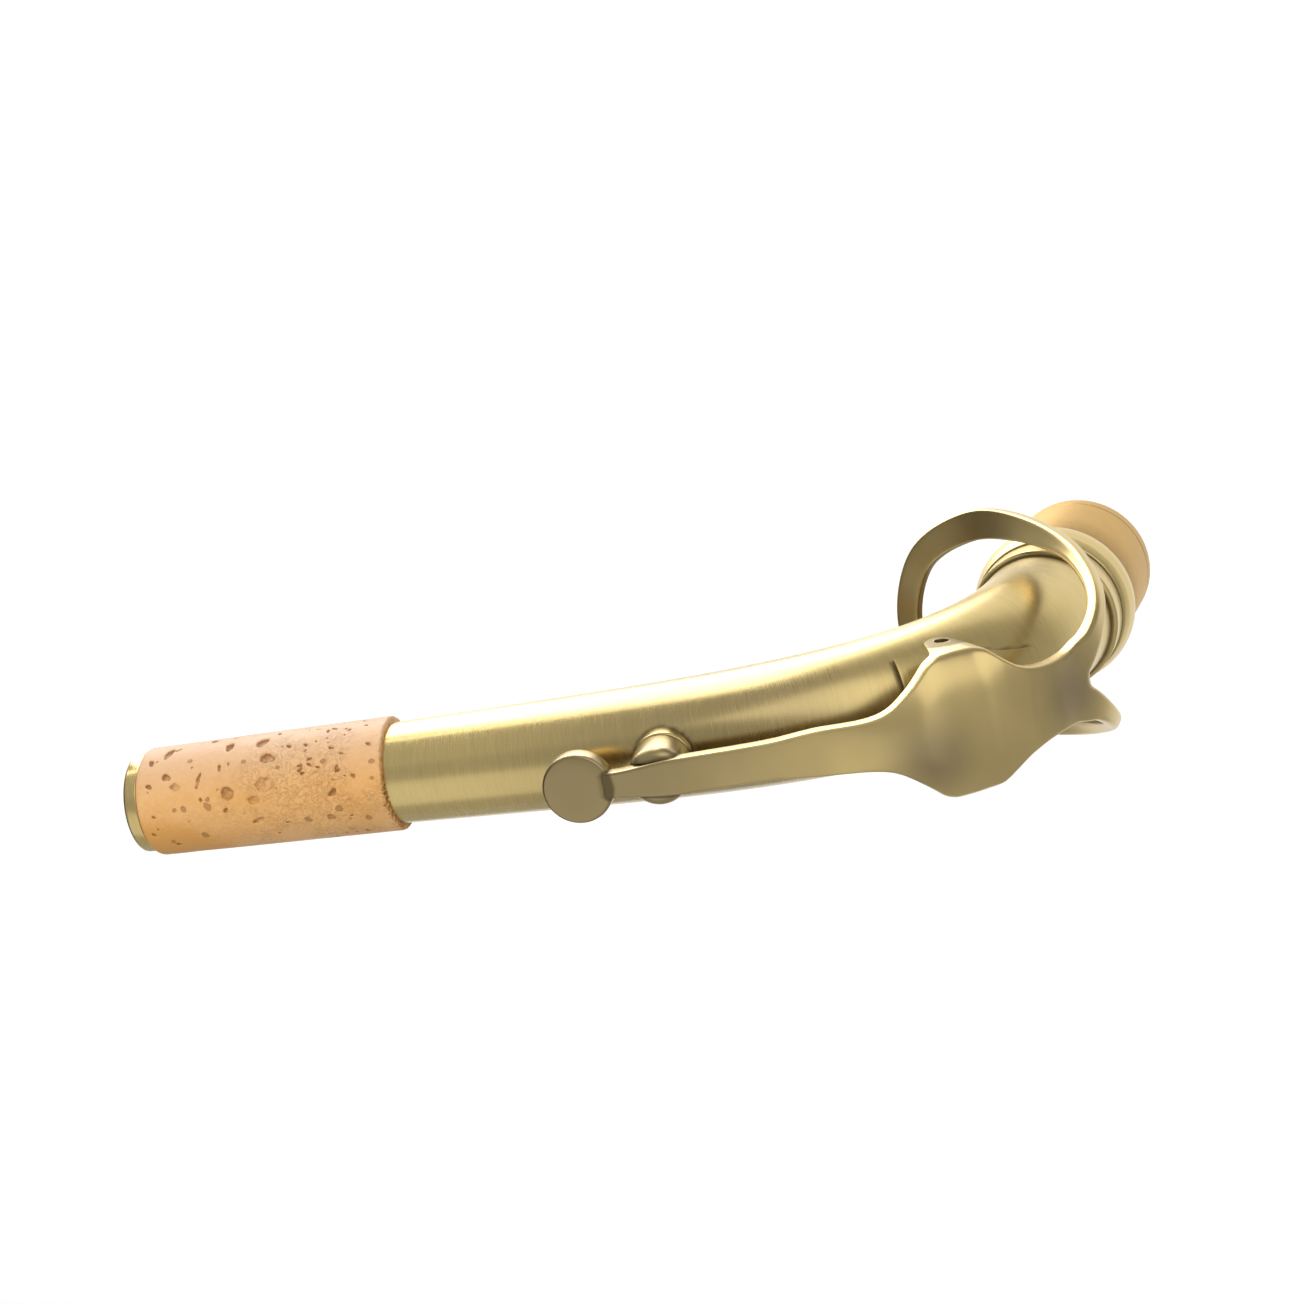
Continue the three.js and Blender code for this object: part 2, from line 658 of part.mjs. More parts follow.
const ringRings = spread(0, 1, ringSteps + 1).map((t) => {
  const point = ringPath.getPoint(t);
  const direction = ringPath.getTangent(t);
  const fromFar = Math.abs(2 * t - 1);
  const change = (from, to, shares) => from + (to - from) * THREE.MathUtils.smoothstep(fromFar, ...shares);
  const tilt = change(ringFarTilt, ringBibTilt, ringTiltShares);
  const width = change(ringFarWidth, ringBibWidth, ringWidthShares);
  const thick = change(ringFarThickness, ringBibThickness, ringThicknessShares);
  const level = new THREE.Vector3(point.x - ringCentre, point.y, 0).normalize();
  const facing = level.multiplyScalar(Math.cos(tilt)).add(new THREE.Vector3(0, 0, Math.sin(tilt)));
  facing.addScaledVector(direction, -facing.dot(direction)).normalize();
  const up = new THREE.Vector3().crossVectors(facing, direction).normalize();
  const [a, b, c] = [width / 2, thick / 2, ringRound];
  return [[a, b - c], [a - c, b], [c - a, b], [-a, b - c], [-a, c - b], [c - a, -b], [a - c, -b], [a, c - b]]
    .map(([side, rise]) => point.clone().addScaledVector(facing, side).addScaledVector(up, rise));
});
const bibCut = new THREE.BoxGeometry(2 * keyHeight, 4 * keyHalfWidth, keyLength);
bibCut.translate(0, 0, keyLength / 2 - jointGap);
const bibFrame = new THREE.Matrix4().makeBasis(across.clone().cross(tangent(keyEnd)), across, tangent(keyEnd));
bibFrame.setPosition(onNeck(keyEnd, keyHeight));
addPiece("key_ring", cut(skin(ringRings), facingOut(bibCut.applyMatrix4(bibFrame))), keyBrass);

export default neck;
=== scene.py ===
# Saxophone neck with its octave key, built round the imported CAD frame. Metres, +Z up the
# tenon's axis, +X to the mouthpiece end. The key and everything on it ride on the body
# octave_key, the rest rides on the body neck, but for the flat spring, which is tied to neither.

import math

import bpy
import numpy as np
from bpy.props import FloatProperty, FloatVectorProperty, PointerProperty
from mathutils import Matrix, Vector, noise
from mathutils.bvhtree import BVHTree


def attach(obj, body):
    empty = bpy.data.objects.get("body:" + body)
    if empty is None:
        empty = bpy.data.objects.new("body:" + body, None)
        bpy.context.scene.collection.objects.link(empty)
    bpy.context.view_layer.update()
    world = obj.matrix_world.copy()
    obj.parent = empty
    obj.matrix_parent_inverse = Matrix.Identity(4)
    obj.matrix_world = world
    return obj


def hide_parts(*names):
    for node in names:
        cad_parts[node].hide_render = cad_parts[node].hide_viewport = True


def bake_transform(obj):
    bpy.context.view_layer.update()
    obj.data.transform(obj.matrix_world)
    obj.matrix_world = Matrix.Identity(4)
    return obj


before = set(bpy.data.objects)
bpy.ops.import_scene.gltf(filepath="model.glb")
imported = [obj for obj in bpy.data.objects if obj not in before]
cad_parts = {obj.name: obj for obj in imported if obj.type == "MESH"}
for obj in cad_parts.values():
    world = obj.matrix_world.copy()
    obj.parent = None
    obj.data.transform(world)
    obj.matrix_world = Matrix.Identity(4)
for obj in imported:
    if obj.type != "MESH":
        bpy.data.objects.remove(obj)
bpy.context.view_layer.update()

bl_info = {
    "name": "Saxophone Neck",
    "version": (1, 0, 0),
    "blender": (4, 5, 0),
    "location": "3D View > Sidebar > Sax Neck",
    "description": "Models a saxophone neck with its octave key over the packed frame",
    "category": "Add Mesh",
}

MM = 0.001
ACROSS = Vector((0, 1, 0))


def length(name, text, default):
    """A size in metres."""
    return FloatProperty(name=name, description=text, default=default, min=0, unit="LENGTH", precision=5)


def colour(name, text, default):
    """A linear colour for one of the finishes."""
    return FloatVectorProperty(
        name=name, description=text, default=default, subtype="COLOR", size=3, min=0, max=1)


class NeckSizes(bpy.types.PropertyGroup):
    """Sizes of the tube, its foot and its mouthpiece end"""

    bend_start: length("Bend start", "Height at which the tube begins to bend", 0.00749)
    low_bend: length("Low bend radius", "Bend radius at the foot", 0.0714)
    tight_bend: length("Tight bend radius", "Bend radius where it is tightest", 0.0398)
    high_bend: length("High bend radius", "Bend radius before the straight part", 0.102)
    bend_spacing: length("Bend spacing", "Distance along the tube between the three radii", 0.0332)
    tube_length: length("Tube length", "Length of the centreline from the bend's start", 0.1661)
    tube_base: length("Foot radius", "Outer radius of the tube at the foot", 0.01105)
    tube_tip: length("Tip radius", "Outer radius of the tube at the mouthpiece end", 0.00688)
    tube_wall: length("Tube wall", "Thickness of the tube's wall", 0.0007)
    flare: length("Flare", "Extra radius at the bottom of the bend", 0.00028)
    flare_length: length("Flare length", "How far up the tube the flare runs", 0.045)
    tenon_radius: length("Tenon radius", "Outer radius of the tenon", 0.01225)
    tenon_length: length("Tenon length", "Length of the tenon below the shoulder", 0.0214)
    tenon_wall: length("Tenon wall", "Thickness of the tenon's wall", 0.001)
    tube_foot: length("Tube foot", "Height of the tube's lower end in the collar", 0.0047)
    collar_top: length("Collar top", "Height of the collar's upper rim", 0.0064)
    ferrule_top: length("Ferrule top", "Height of the ferrule's upper rim", 0.0114)
    cork_length: length("Cork length", "Length of the cork sleeve", 0.0413)
    cork_radius: length("Cork radius", "Radius of the cork at its inner end", 0.00905)
    cork_tip_radius: length("Cork tip radius", "Radius of the cork at the tip ring", 0.00864)
    tip_ring_radius: length("Tip ring radius", "Outer radius of the tip ring", 0.00785)
    tip_ring_length: length("Tip ring length", "Length of the tip ring", 0.0023)
    plate_thickness: length("Plate thickness", "Thickness of the plate on the tube", 0.0007)
    gap: length("Joint gap", "Gap left between pieces that are soldered together", 0.0003)


class KeySizes(bpy.types.PropertyGroup):
    """Sizes of the octave key and of what it works on"""

    half_width: length("Half width", "Half width of the saddle across its ears", 0.011)
    height: length("Height", "Height of the bib's outer face over the centreline", 0.0228)
    thickness: length("Thickness", "Thickness of the arm, saddle and bib", 0.0024)
    ear_wall: length("Ear wall", "Thickness of the ears", 0.0024)
    crown: length("Crown", "How much lower the ears' edges lie than the middle", 0.003)
    fold: length("Fold", "Radius with which the saddle folds into the ears", 0.0026)
    arm_end: length("Arm end", "Place of the arm's end along the tube", 0.0866)
    bib_end: length("Bib end", "Place of the bib's end along the tube", 0.0272)
    pivot_place: length("Pivot place", "Place of the pivot along the tube", 0.0411)
    pivot_height: length("Pivot height", "Height of the pivot over the centreline", 0.0147)
    screw_radius: length("Screw radius", "Radius of the pivot screw", 0.001)
    ring_reach: length("Ring reach", "Distance of the ring's far side from the tenon's axis", 0.02395)
    ring_half_width: length("Ring half width", "Half width of the ring", 0.01642)
    ring_rise: length("Ring rise", "Height at which the ring's branches meet the bib", 0.0465)
    disc_radius: length("Disc radius", "Radius of the blank disc", 0.00535)
    disc_place: length("Disc place", "Place of the disc along the tube", 0.0894)
    pip_place: length("Pip place", "Place of the octave pip along the tube", 0.0786)
    cup_radius: length("Cup radius", "Radius of the pad cup", 0.0045)
    pad_top: length("Pad top", "Height of the pad's back over the centreline", 0.01383)
    flange_radius: length("Flange radius", "Radius of the pip's flange", 0.0046)
    spring_thickness: length("Spring thickness", "Thickness of the flat spring", 0.0005)


class NeckColours(bpy.types.PropertyGroup):
    """Colours of the finishes"""

    brass: colour("Satin brass", "Brushed antiqued brass of the tube", (0.70, 0.54, 0.23))
    brass_dark: colour("Brass patina", "Darker tone of the tube's brass", (0.52, 0.395, 0.155))
    key_brass: colour("Key brass", "Satin brass of the octave key", (0.67, 0.51, 0.215))
    # key_dark is also the tone that the arm and the disc are pushed to as painted dark reflection.
    key_dark: colour("Key patina", "Darker tone of the key's brass", (0.43, 0.33, 0.155))
    raw_brass: colour("Raw brass", "Bare brass of the tenon", (0.64, 0.41, 0.125))
    raw_dark: colour("Raw brass stain", "Stained tone of the tenon", (0.47, 0.28, 0.075))
    cork: colour("Cork", "Light tone of the cork", (0.635, 0.38, 0.165))
    cork_warm: colour("Warm cork", "Second tone of the cork", (0.52, 0.25, 0.055))
    cork_pit: colour("Cork pits", "Tone of the cork's pits", (0.22, 0.08, 0.015))
    floor: colour("Floor", "Tone of the floor", (0.95, 0.95, 0.95))


def neck_sizes():
    return bpy.context.scene.neck_sizes


def key_sizes():
    return bpy.context.scene.key_sizes


def tones():
    return bpy.context.scene.neck_colours


# The neck's centreline


def heading(place):
    """Angle of the tube from the tenon's axis at a place along it."""
    s = neck_sizes()
    bends = (1 / s.low_bend, 1 / s.tight_bend, 1 / s.high_bend, 0)
    angle = 0.0
    for i in range(3):
        share = min(max(place / s.bend_spacing - i, 0), 1)
        angle += s.bend_spacing * (bends[i] * share + (bends[i + 1] - bends[i]) * share**2 / 2)
    return angle


# Evenly spaced points of the centreline, worked out when the first one is asked for
CENTRES = []
CENTRE_STEPS = 400


def centre(place):
    """Point on the centreline; below the bend it runs straight down."""
    s = neck_sizes()
    if place <= 0:
        return Vector((0, 0, s.bend_start + place))
    if not CENTRES:
        CENTRES.append(Vector((0, 0, s.bend_start)))
        for i in range(CENTRE_STEPS):
            ahead = tangent((i + 0.5) * s.tube_length / CENTRE_STEPS)
            CENTRES.append(CENTRES[-1] + ahead * (s.tube_length / CENTRE_STEPS))
    at = min(place / s.tube_length, 1) * CENTRE_STEPS
    index = min(int(at), CENTRE_STEPS - 1)
    return CENTRES[index].lerp(CENTRES[index + 1], at - index)


def tangent(place):
    return Vector((math.sin(heading(place)), 0, math.cos(heading(place))))


def outward(place):
    return Vector((-math.cos(heading(place)), 0, math.sin(heading(place))))


def on_neck(place, height, side=0.0):
    """Point at a height outside the centreline, to one side of the symmetry plane."""
    return centre(place) + outward(place) * height + ACROSS * side


def tube_radius(place):
    s = neck_sizes()
    along = max(place, 0)
    flare = s.flare * max(0, 1 - along / s.flare_length) ** 2
    return s.tube_base + (s.tube_tip - s.tube_base) * along / s.tube_length + flare


# Curves through given values


def step_between(value, low, high):
    """0 below low, 1 over high, smooth between."""
    share = min(max((value - low) / (high - low), 0), 1)
    return share * share * (3 - 2 * share)


def curve_weights(u):
    """Weights of a curve's start, its slope there, its end and its slope there, at u from 0 to 1."""
    return 2 * u**3 - 3 * u**2 + 1, u**3 - 2 * u**2 + u, 3 * u**2 - 2 * u**3, u**3 - u**2


def between(table, at, column=1):
    """Value of a table's column, smooth and never past its neighbours."""
    xs = [row[0] for row in table]
    ys = [row[column] for row in table]
    at = min(max(at, xs[0]), xs[-1])
    i = max(j for j in range(len(xs) - 1) if xs[j] <= at)
    slopes = [(ys[j + 1] - ys[j]) / (xs[j + 1] - xs[j]) for j in range(len(xs) - 1)]

    def slope(j):
        if j in (0, len(xs) - 1):
            return slopes[0 if j == 0 else -1]
        a, b = slopes[j - 1], slopes[j]
        return 0.0 if a * b <= 0 else 2 * a * b / (a + b)

    width = xs[i + 1] - xs[i]
    start, leave, end, arrive = curve_weights((at - xs[i]) / width)
    return start * ys[i] + leave * width * slope(i) + end * ys[i + 1] + arrive * width * slope(i + 1)


# Modelling helpers


def select_nothing():
    if bpy.context.mode != "OBJECT":
        bpy.ops.object.mode_set(mode="OBJECT")
    bpy.ops.object.select_all(action="DESELECT")


def select_only(piece):
    select_nothing()
    bpy.context.view_layer.objects.active = piece
    piece.select_set(True)


def named(name):
    """The piece that was just added, with its name."""
    piece = bpy.context.object
    piece.name = piece.data.name = name
    return piece


def rounded(corners, steps=4):
    """Outline of (x, y, radius) corners with each corner rounded."""
    points = []
    for i, (x, y, radius) in enumerate(corners):
        here = Vector((x, y))
        if not radius:
            points.append(here)
            continue
        before = (Vector(corners[i - 1][:2]) - here).normalized()
        after = (Vector(corners[(i + 1) % len(corners)][:2]) - here).normalized()
        half = before.angle(after) / 2
        middle = here + (before + after).normalized() * radius / math.sin(half)
        start = here + before * radius / math.tan(half) - middle
        end = here + after * radius / math.tan(half) - middle
        turn = start.angle_signed(end)
        for k in range(steps + 1):
            points.append(middle + Matrix.Rotation(-turn * k / steps, 2) @ start)
    return points


def spun(name, corners, middle, axis, arm, steps=96, rounding=4):
    """Turns corners of (distance from the axis, distance along it, radius) all round."""
    outline = rounded(corners, rounding)
    select_nothing()
    bpy.ops.mesh.primitive_circle_add(vertices=len(outline), radius=0.01, fill_type="NOTHING")
    piece = named(name)
    for vertex, (out, along) in zip(piece.data.vertices, outline):
        vertex.co = middle + arm * out + axis * along
    bpy.ops.object.mode_set(mode="EDIT")
    bpy.ops.mesh.select_all(action="SELECT")
    bpy.ops.mesh.spin(steps=steps, angle=2 * math.pi, center=middle, axis=axis)
    close_up(1e-6)
    return piece


def spun_on_neck(name, corners, place, steps=96, lean=0.0, rounding=4):
    """Turned piece that stands on the tube, its corners in (radius, height over the centreline)."""
    turn = Matrix.Rotation(lean, 3, "Y")
    return spun(name, corners, centre(place), turn @ outward(place), turn @ tangent(place), steps, rounding)


def grid_piece(name, across, along, where):
    """Sheet of faces whose points are placed by where(u, v), both from 0 to 1."""
    select_nothing()
    bpy.ops.mesh.primitive_grid_add(x_subdivisions=across, y_subdivisions=along, size=1)
    piece = named(name)
    for vertex in piece.data.vertices:
        vertex.co = where(vertex.co.x + 0.5, vertex.co.y + 0.5)
    return piece


def bar(name, middle, along, size, taper=1.0):
    """Block with its length on a direction and its width across the neck, narrowed upwards by taper."""
    select_nothing()
    turn = Matrix((along, ACROSS, along.cross(ACROSS))).transposed()
    bpy.ops.mesh.primitive_cube_add(size=1, location=middle, scale=size, rotation=turn.to_euler())
    piece = named(name)
    for vertex in piece.data.vertices:
        if vertex.co.z > 0:
            vertex.co.x, vertex.co.y = vertex.co.x * taper, vertex.co.y * taper
    bpy.ops.object.transform_apply(location=True, rotation=True, scale=True)
    return piece


def rod(name, start, end, radius, sides=64):
    """Round bar between two points."""
    select_nothing()
    along = end - start
    bpy.ops.mesh.primitive_cylinder_add(
        vertices=sides, radius=radius, depth=along.length, location=(start + end) / 2,
        rotation=along.to_track_quat("Z", "Y").to_euler())
    bpy.ops.object.transform_apply(location=True, rotation=True, scale=True)
    return named(name)


def faced(name, points, faces):
    """Object with these points and faces, its normals turned outwards."""
    mesh = bpy.data.meshes.new(name)
    mesh.from_pydata([tuple(point) for point in points], [], faces)
    piece = bpy.data.objects.new(name, mesh)
    bpy.context.scene.collection.objects.link(piece)
    recalculate(piece)
    return piece


def recalculate(piece, merge=1e-7):
    select_only(piece)
    bpy.ops.object.mode_set(mode="EDIT")
    close_up(merge)


def close_up(merge):
    """Merges doubles, drops loose points, turns the normals outwards and leaves edit mode."""
    bpy.ops.mesh.select_all(action="SELECT")
    bpy.ops.mesh.remove_doubles(threshold=merge)
    bpy.ops.mesh.delete_loose(use_verts=True, use_edges=True, use_faces=False)
    bpy.ops.mesh.select_all(action="SELECT")
    bpy.ops.mesh.normals_make_consistent(inside=False)
    bpy.ops.object.mode_set(mode="OBJECT")


def modified(piece, kind, **settings):
    """Adds a modifier and applies it."""
    select_only(piece)
    modifier = piece.modifiers.new(kind.title(), kind)
    for setting, value in settings.items():
        setattr(modifier, setting, value)
    bpy.ops.object.modifier_apply(modifier=modifier.name)
    return piece


def cut(piece, tool, operation="DIFFERENCE"):
    """Boolean of a piece with another, which is used up."""
    modified(piece, "BOOLEAN", object=tool, operation=operation, solver="EXACT")
    bpy.data.objects.remove(tool)


def softened(piece, width, angle=30, segments=3):
    """Bevels the piece's sharp edges."""
    limit = math.radians(angle)
    return modified(piece, "BEVEL", width=width, segments=segments, limit_method="ANGLE", angle_limit=limit,
                    harden_normals=False)


def points_of(piece):
    return np.array([vertex.co for vertex in piece.data.vertices])


def store(piece, name, values):
    """Keeps a number or a vector for each point of a piece."""
    kind, field = ("FLOAT_VECTOR", "vector") if np.ndim(values) == 2 else ("FLOAT", "value")
    piece.data.attributes.new(name, kind, "POINT").data.foreach_set(field, np.ravel(values))


# Length of the arm round an axis in the brushing coordinates
BRUSH_ARM = 0.01


def brush_by_axis(piece, middle, axis):
    """Stores the way the piece was brushed: distance along an axis, then the arm round it."""
    coords = points_of(piece) - np.array(middle)
    axis = np.array(axis)
    along = coords @ axis
    arm = coords - along[:, None] * axis
    arm /= np.maximum(np.linalg.norm(arm, axis=1), 1e-6)[:, None]
    side = np.cross(axis, ACROSS)
    store(piece, "brush", np.stack([along, arm[:, 1] * BRUSH_ARM, arm @ side * BRUSH_ARM], axis=1))
    return piece


def brush_by_neck(piece):
    """The same for a piece that follows the bent tube."""
    places = np.linspace(-0.01, neck_sizes().tube_length, 700)
    line, out, ahead = (np.array([way(place) for place in places]) for way in (centre, outward, tangent))
    coords = points_of(piece)
    values = np.empty((len(coords), 3))
    block = 4000
    for start in range(0, len(coords), block):
        part = coords[start : start + block]
        nearest = np.argmin(((part[:, None, (0, 2)] - line[None][:, :, (0, 2)]) ** 2).sum(axis=2), axis=1)
        offset = part - line[nearest]
        rise = (offset * out[nearest]).sum(axis=1)
        reach = np.maximum(np.hypot(rise, offset[:, 1]), 1e-6)
        values[start : start + block, 0] = places[nearest] + (offset * ahead[nearest]).sum(axis=1)
        values[start : start + block, 1] = offset[:, 1] / reach * BRUSH_ARM
        values[start : start + block, 2] = rise / reach * BRUSH_ARM
    store(piece, "brush", values)
    return piece


def smooth(piece, angle):
    select_only(piece)
    bpy.ops.object.shade_smooth_by_angle(angle=math.radians(angle))


def done(piece, body, slot, *nodes, angle=32):
    """Shades a finished piece, gives it its finish and ties it to the frame."""
    smooth(piece, angle)
    piece.data.materials.clear()
    piece.data.materials.append(finish(slot))
    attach(piece, body)
    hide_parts(*nodes)


def turned_brass(name, corners, spot, slot, node):
    """Turned piece of the neck, brushed round its axis; spot is its middle, axis and arm."""
    piece = spun(name, corners, *spot, 128)
    done(brush_by_axis(piece, *spot[:2]), "neck", slot, node)


# Finishes


class Value:
    """A node's output; sums and products of values add Math nodes."""

    def __init__(self, recipe, socket):
        self.recipe, self.socket = recipe, socket

    def maths(self, operation, first, second):
        return self.recipe.node("ShaderNodeMath", {"operation": operation}, {0: first, 1: second})

    def __add__(self, other):
        return self.maths("ADD", self, other)

    def __sub__(self, other):
        return self.maths("SUBTRACT", self, other)

    def __rsub__(self, other):
        return self.maths("SUBTRACT", other, self)

    def __mul__(self, other):
        return self.maths("MULTIPLY", self, other)

    __radd__, __rmul__ = __add__, __mul__

    def above(self, low, high):
        """0 below low, 1 over high, smooth between."""
        settings = {"interpolation_type": "SMOOTHSTEP"}
        return self.recipe.node("ShaderNodeMapRange", settings, {0: self, 1: low, 2: high, 3: 0.0, 4: 1.0})


class Recipe:
    """A material and the nodes of its pattern."""

    def __init__(self, name, **fixed):
        self.material = bpy.data.materials.new(name)
        self.material.use_nodes = True
        self.tree = self.material.node_tree
        self.shader = self.tree.nodes["Principled BSDF"]
        for socket, value in fixed.items():
            self.shader.inputs[socket.replace("_", " ")].default_value = value

    def node(self, kind, settings=None, ends=None, output=0):
        node = self.tree.nodes.new(kind)
        for setting, value in (settings or {}).items():
            setattr(node, setting, value)
        for socket, value in (ends or {}).items():
            if isinstance(value, Value):
                self.tree.links.new(value.socket, node.inputs[socket])
            else:
                node.inputs[socket].default_value = value
        return Value(self, node.outputs[output])

    def place(self, scale=(1, 1, 1)):
        """Object coordinates, stretched."""
        coords = self.node("ShaderNodeTexCoord", output="Object")
        return self.node("ShaderNodeMapping", {}, {"Vector": coords, "Scale": scale})

    def along(self, axis):
        """One of the Object coordinates."""
        return self.node("ShaderNodeSeparateXYZ", {}, {0: self.place()}, output=axis)

    def stored(self, name, output="Fac"):
        """What the piece stores for each of its points."""
        return self.node("ShaderNodeAttribute", {"attribute_name": name}, output=output)

    def brushed(self, scale):
        """The piece's own brushing coordinates, stretched."""
        return self.node("ShaderNodeMapping", {}, {"Vector": self.stored("brush", "Vector"), "Scale": scale})

    def grain(self, coords, scale=1.0, detail=2.0, rough=0.5, warp=0.0, output="Fac"):
        ends = {"Vector": coords, "Scale": scale, "Detail": detail, "Roughness": rough, "Distortion": warp}
        return self.node("ShaderNodeTexNoise", {}, ends, output)

    def cells(self, coords, scale, output="Distance"):
        return self.node("ShaderNodeTexVoronoi", {}, {"Vector": coords, "Scale": scale}, output)

    def apart(self, spot):
        """Distance from a point in Object coordinates."""
        ends = {0: self.place(), 1: spot}
        return self.node("ShaderNodeVectorMath", {"operation": "DISTANCE"}, ends, "Value")

    def tint(self, share, first, second):
        """Colour from first to second."""
        first, second = (c if isinstance(c, Value) else (*c, 1) for c in (first, second))
        return self.node("ShaderNodeMix", {"data_type": "RGBA"}, {0: share, 6: first, 7: second}, output=2)

    def bump(self, height, distance, strength):
        return self.node("ShaderNodeBump", {}, {"Height": height, "Distance": distance, "Strength": strength})

    def drive(self, **ends):
        for socket, value in ends.items():
            self.tree.links.new(value.socket, self.shader.inputs[socket.replace("_", " ")])
        return self.material


def darkened(r, tone, dark=(0.13, 0.095, 0.045)):
    """A brass tone, darkened by the stored patina: antiquing left in the corners, together with painted shade
    in the seams, on the key's inner side and underside and on the tube round the key.
    """
    edge = (r.stored("patina") + (r.grain(r.place(), scale=900) - 0.5) * 0.2).above(0.25, 0.95)
    return r.tint(edge * 0.8, tone, dark), edge


def satin_brass(name):
    """Antiqued brass brushed round the tube, under clear lacquer, with painted shade: a band along X is
    tinted darker to dim the highlight beside the key.
    """
    t = tones()
    r = Recipe(name, Metallic=1.0, Coat_Weight=0.15, Coat_Roughness=0.2)
    fine = r.grain(r.brushed((7000, 260, 260)), detail=3, rough=0.6)
    wide = r.grain(r.brushed((1500, 110, 110)))
    cloud = r.grain(r.place(), scale=48, detail=3)
    ahead = r.along("X")
    # Painted shade: from about 10 to 80 mm in X the brass is tinted darker, dimming its highlight.
    painted_dim_band = ahead.above(0.01, 0.028) * (1 - ahead.above(0.042, 0.08)) * 0.4
    bend = (1 - ahead.above(0.012, 0.04)) * 0.07
    shade = (fine - 0.5) + (wide - 0.5) * 0.5 + (cloud - 0.5) * 0.7 + 0.66
    tone = r.tint(painted_dim_band, r.tint(shade, t.brass_dark, t.brass), (0.22, 0.17, 0.10))
    base, edge = darkened(r, tone)
    rough = (fine - 0.5) * 0.16 + (cloud - 0.5) * 0.08 + edge * 0.2 + bend + 0.25
    height = fine * 0.7 + wide * 0.5
    return r.drive(Base_Color=base, Roughness=rough, Normal=r.bump(height, 0.00003, 0.35))


# Middles of two dark spots painted on the saddle as painted dark reflections
DARK_REFLECTION_SPOTS = ((-0.0128, 0.0005, 0.049), (0.006, 0.003, 0.066))


def key_brass(name):
    """Satin brass of the octave key, a little browner, with a soft polish; its arm and disc and two spots on
    the saddle are tinted darker as painted dark reflections.
    """
    t = tones()
    r = Recipe(name, Metallic=1.0, Coat_Weight=0.12, Coat_Roughness=0.22)
    cloud = r.grain(r.place(), scale=85)
    stain = r.grain(r.place(), scale=42, detail=1).above(0.5, 0.68)
    # Painted dark reflection: past about 20 to 58 mm in X the arm and the disc are pushed to the dark tone
    # and tinted browner.
    arm = r.along("X").above(0.02, 0.058)
    shade = (cloud - 0.5) * 0.9 - stain * 0.4 - arm * 0.95 + 0.76
    tone = r.tint(arm * 0.46, r.tint(shade, t.key_dark, t.key_brass), (0.22, 0.17, 0.09))
    # Painted dark reflections: the saddle is tinted dark round each spot.
    for spot in DARK_REFLECTION_SPOTS:
        tone = r.tint((1 - r.apart(spot).above(0.001, 0.009)) * 0.62, tone, (0.22, 0.17, 0.11))
    base, edge = darkened(r, tone)
    return r.drive(Base_Color=base, Roughness=(cloud - 0.5) * 0.10 + edge * 0.2 + 0.31)


def raw_brass(name):
    """Bare turned brass of the tenon, matt, with faint stains."""
    t = tones()
    r = Recipe(name, Metallic=1.0)
    lines = r.grain(r.brushed((5200, 30, 30)))
    cloud = r.grain(r.place(), scale=90, detail=4, rough=0.6, warp=0.6)
    shade = (cloud - 0.5) * 1.2 + (lines - 0.5) * 0.4 + 0.6
    base, edge = darkened(r, r.tint(shade, t.raw_dark, t.raw_brass), (0.2, 0.11, 0.04))
    rough = (cloud - 0.5) * 0.15 + (lines - 0.5) * 0.1 + edge * 0.1 + 0.46
    return r.drive(Base_Color=base, Roughness=rough, Normal=r.bump(lines, 0.00003, 0.4))


def sheet_cork(name):
    """Natural cork: warm clouds, fine grain, brown pits, flecks and creases, with painted light: a paler -Y
    side, a darker +Y side at the tip end and shade on one side of each pit.
    """
    t = tones()
    r = Recipe(name)
    cloud = r.grain(r.place(), scale=48, detail=4, rough=0.6)
    grain = r.grain(r.place(), scale=1700, detail=3, rough=0.6)
    mottle = r.grain(r.place((900, 900, 900)), detail=3, rough=0.6)
    warp = r.grain(r.place(), scale=400, detail=3, output="Color")
    ends = {0: warp, 1: (0.0012,) * 3, 2: r.place()}
    shifted = r.node("ShaderNodeVectorMath", {"operation": "MULTIPLY_ADD"}, ends)
    chance = r.node("ShaderNodeSeparateColor", {}, {0: r.cells(shifted, 520, "Color")})
    fleck = ((chance - 0.78) * 1.9 - r.cells(shifted, 520)).above(0.0, 0.1)
    along, side = r.along("X"), r.along("Y")
    patch = r.grain(r.place(), scale=120).above(0.40, 0.58) * (1 - along.above(0.108, 0.12) * 0.8)
    fold = r.grain(r.place(), scale=700, detail=3, warp=1.4) - 0.5
    crease = (1 - (fold * fold).above(0.0001, 0.0012)) * patch
    # The stored pit marks include painted shade on one side of each pit.
    pit = (r.stored("pit") + (grain - 0.5) * 0.35).above(0.12, 0.75)
    # Painted shade: the +Y side towards the tip end is pushed to the warm, darker tone.
    tip = side.above(-0.002, 0.007) * along.above(0.112, 0.13) * 1.3
    warm = (cloud - 0.5) * 2.2 + (grain - 0.5) * 0.8 + tip
    base = r.tint(warm + 0.42, t.cork, t.cork_warm)
    # Painted highlight: the -Y side, towards the lights, is tinted paler and pinker.
    base = r.tint((side * -1).above(0.001, 0.009) * 0.6, base, (0.57, 0.37, 0.225))
    base = r.tint(fleck * 0.6, base, t.cork_pit)
    base = r.tint(crease * 0.24, base, (0.40, 0.19, 0.06))
    base = r.tint(pit * (mottle * 0.4 + 0.72), base, t.cork_pit)
    rough = grain * 0.12 + pit * 0.3 + 0.47
    height = grain * (patch * 0.3 + 0.2) + mottle * 0.2 - fleck * 0.5 - crease * 0.2
    return r.drive(Base_Color=base, Roughness=rough, Normal=r.bump(height, 0.00032, 0.95))


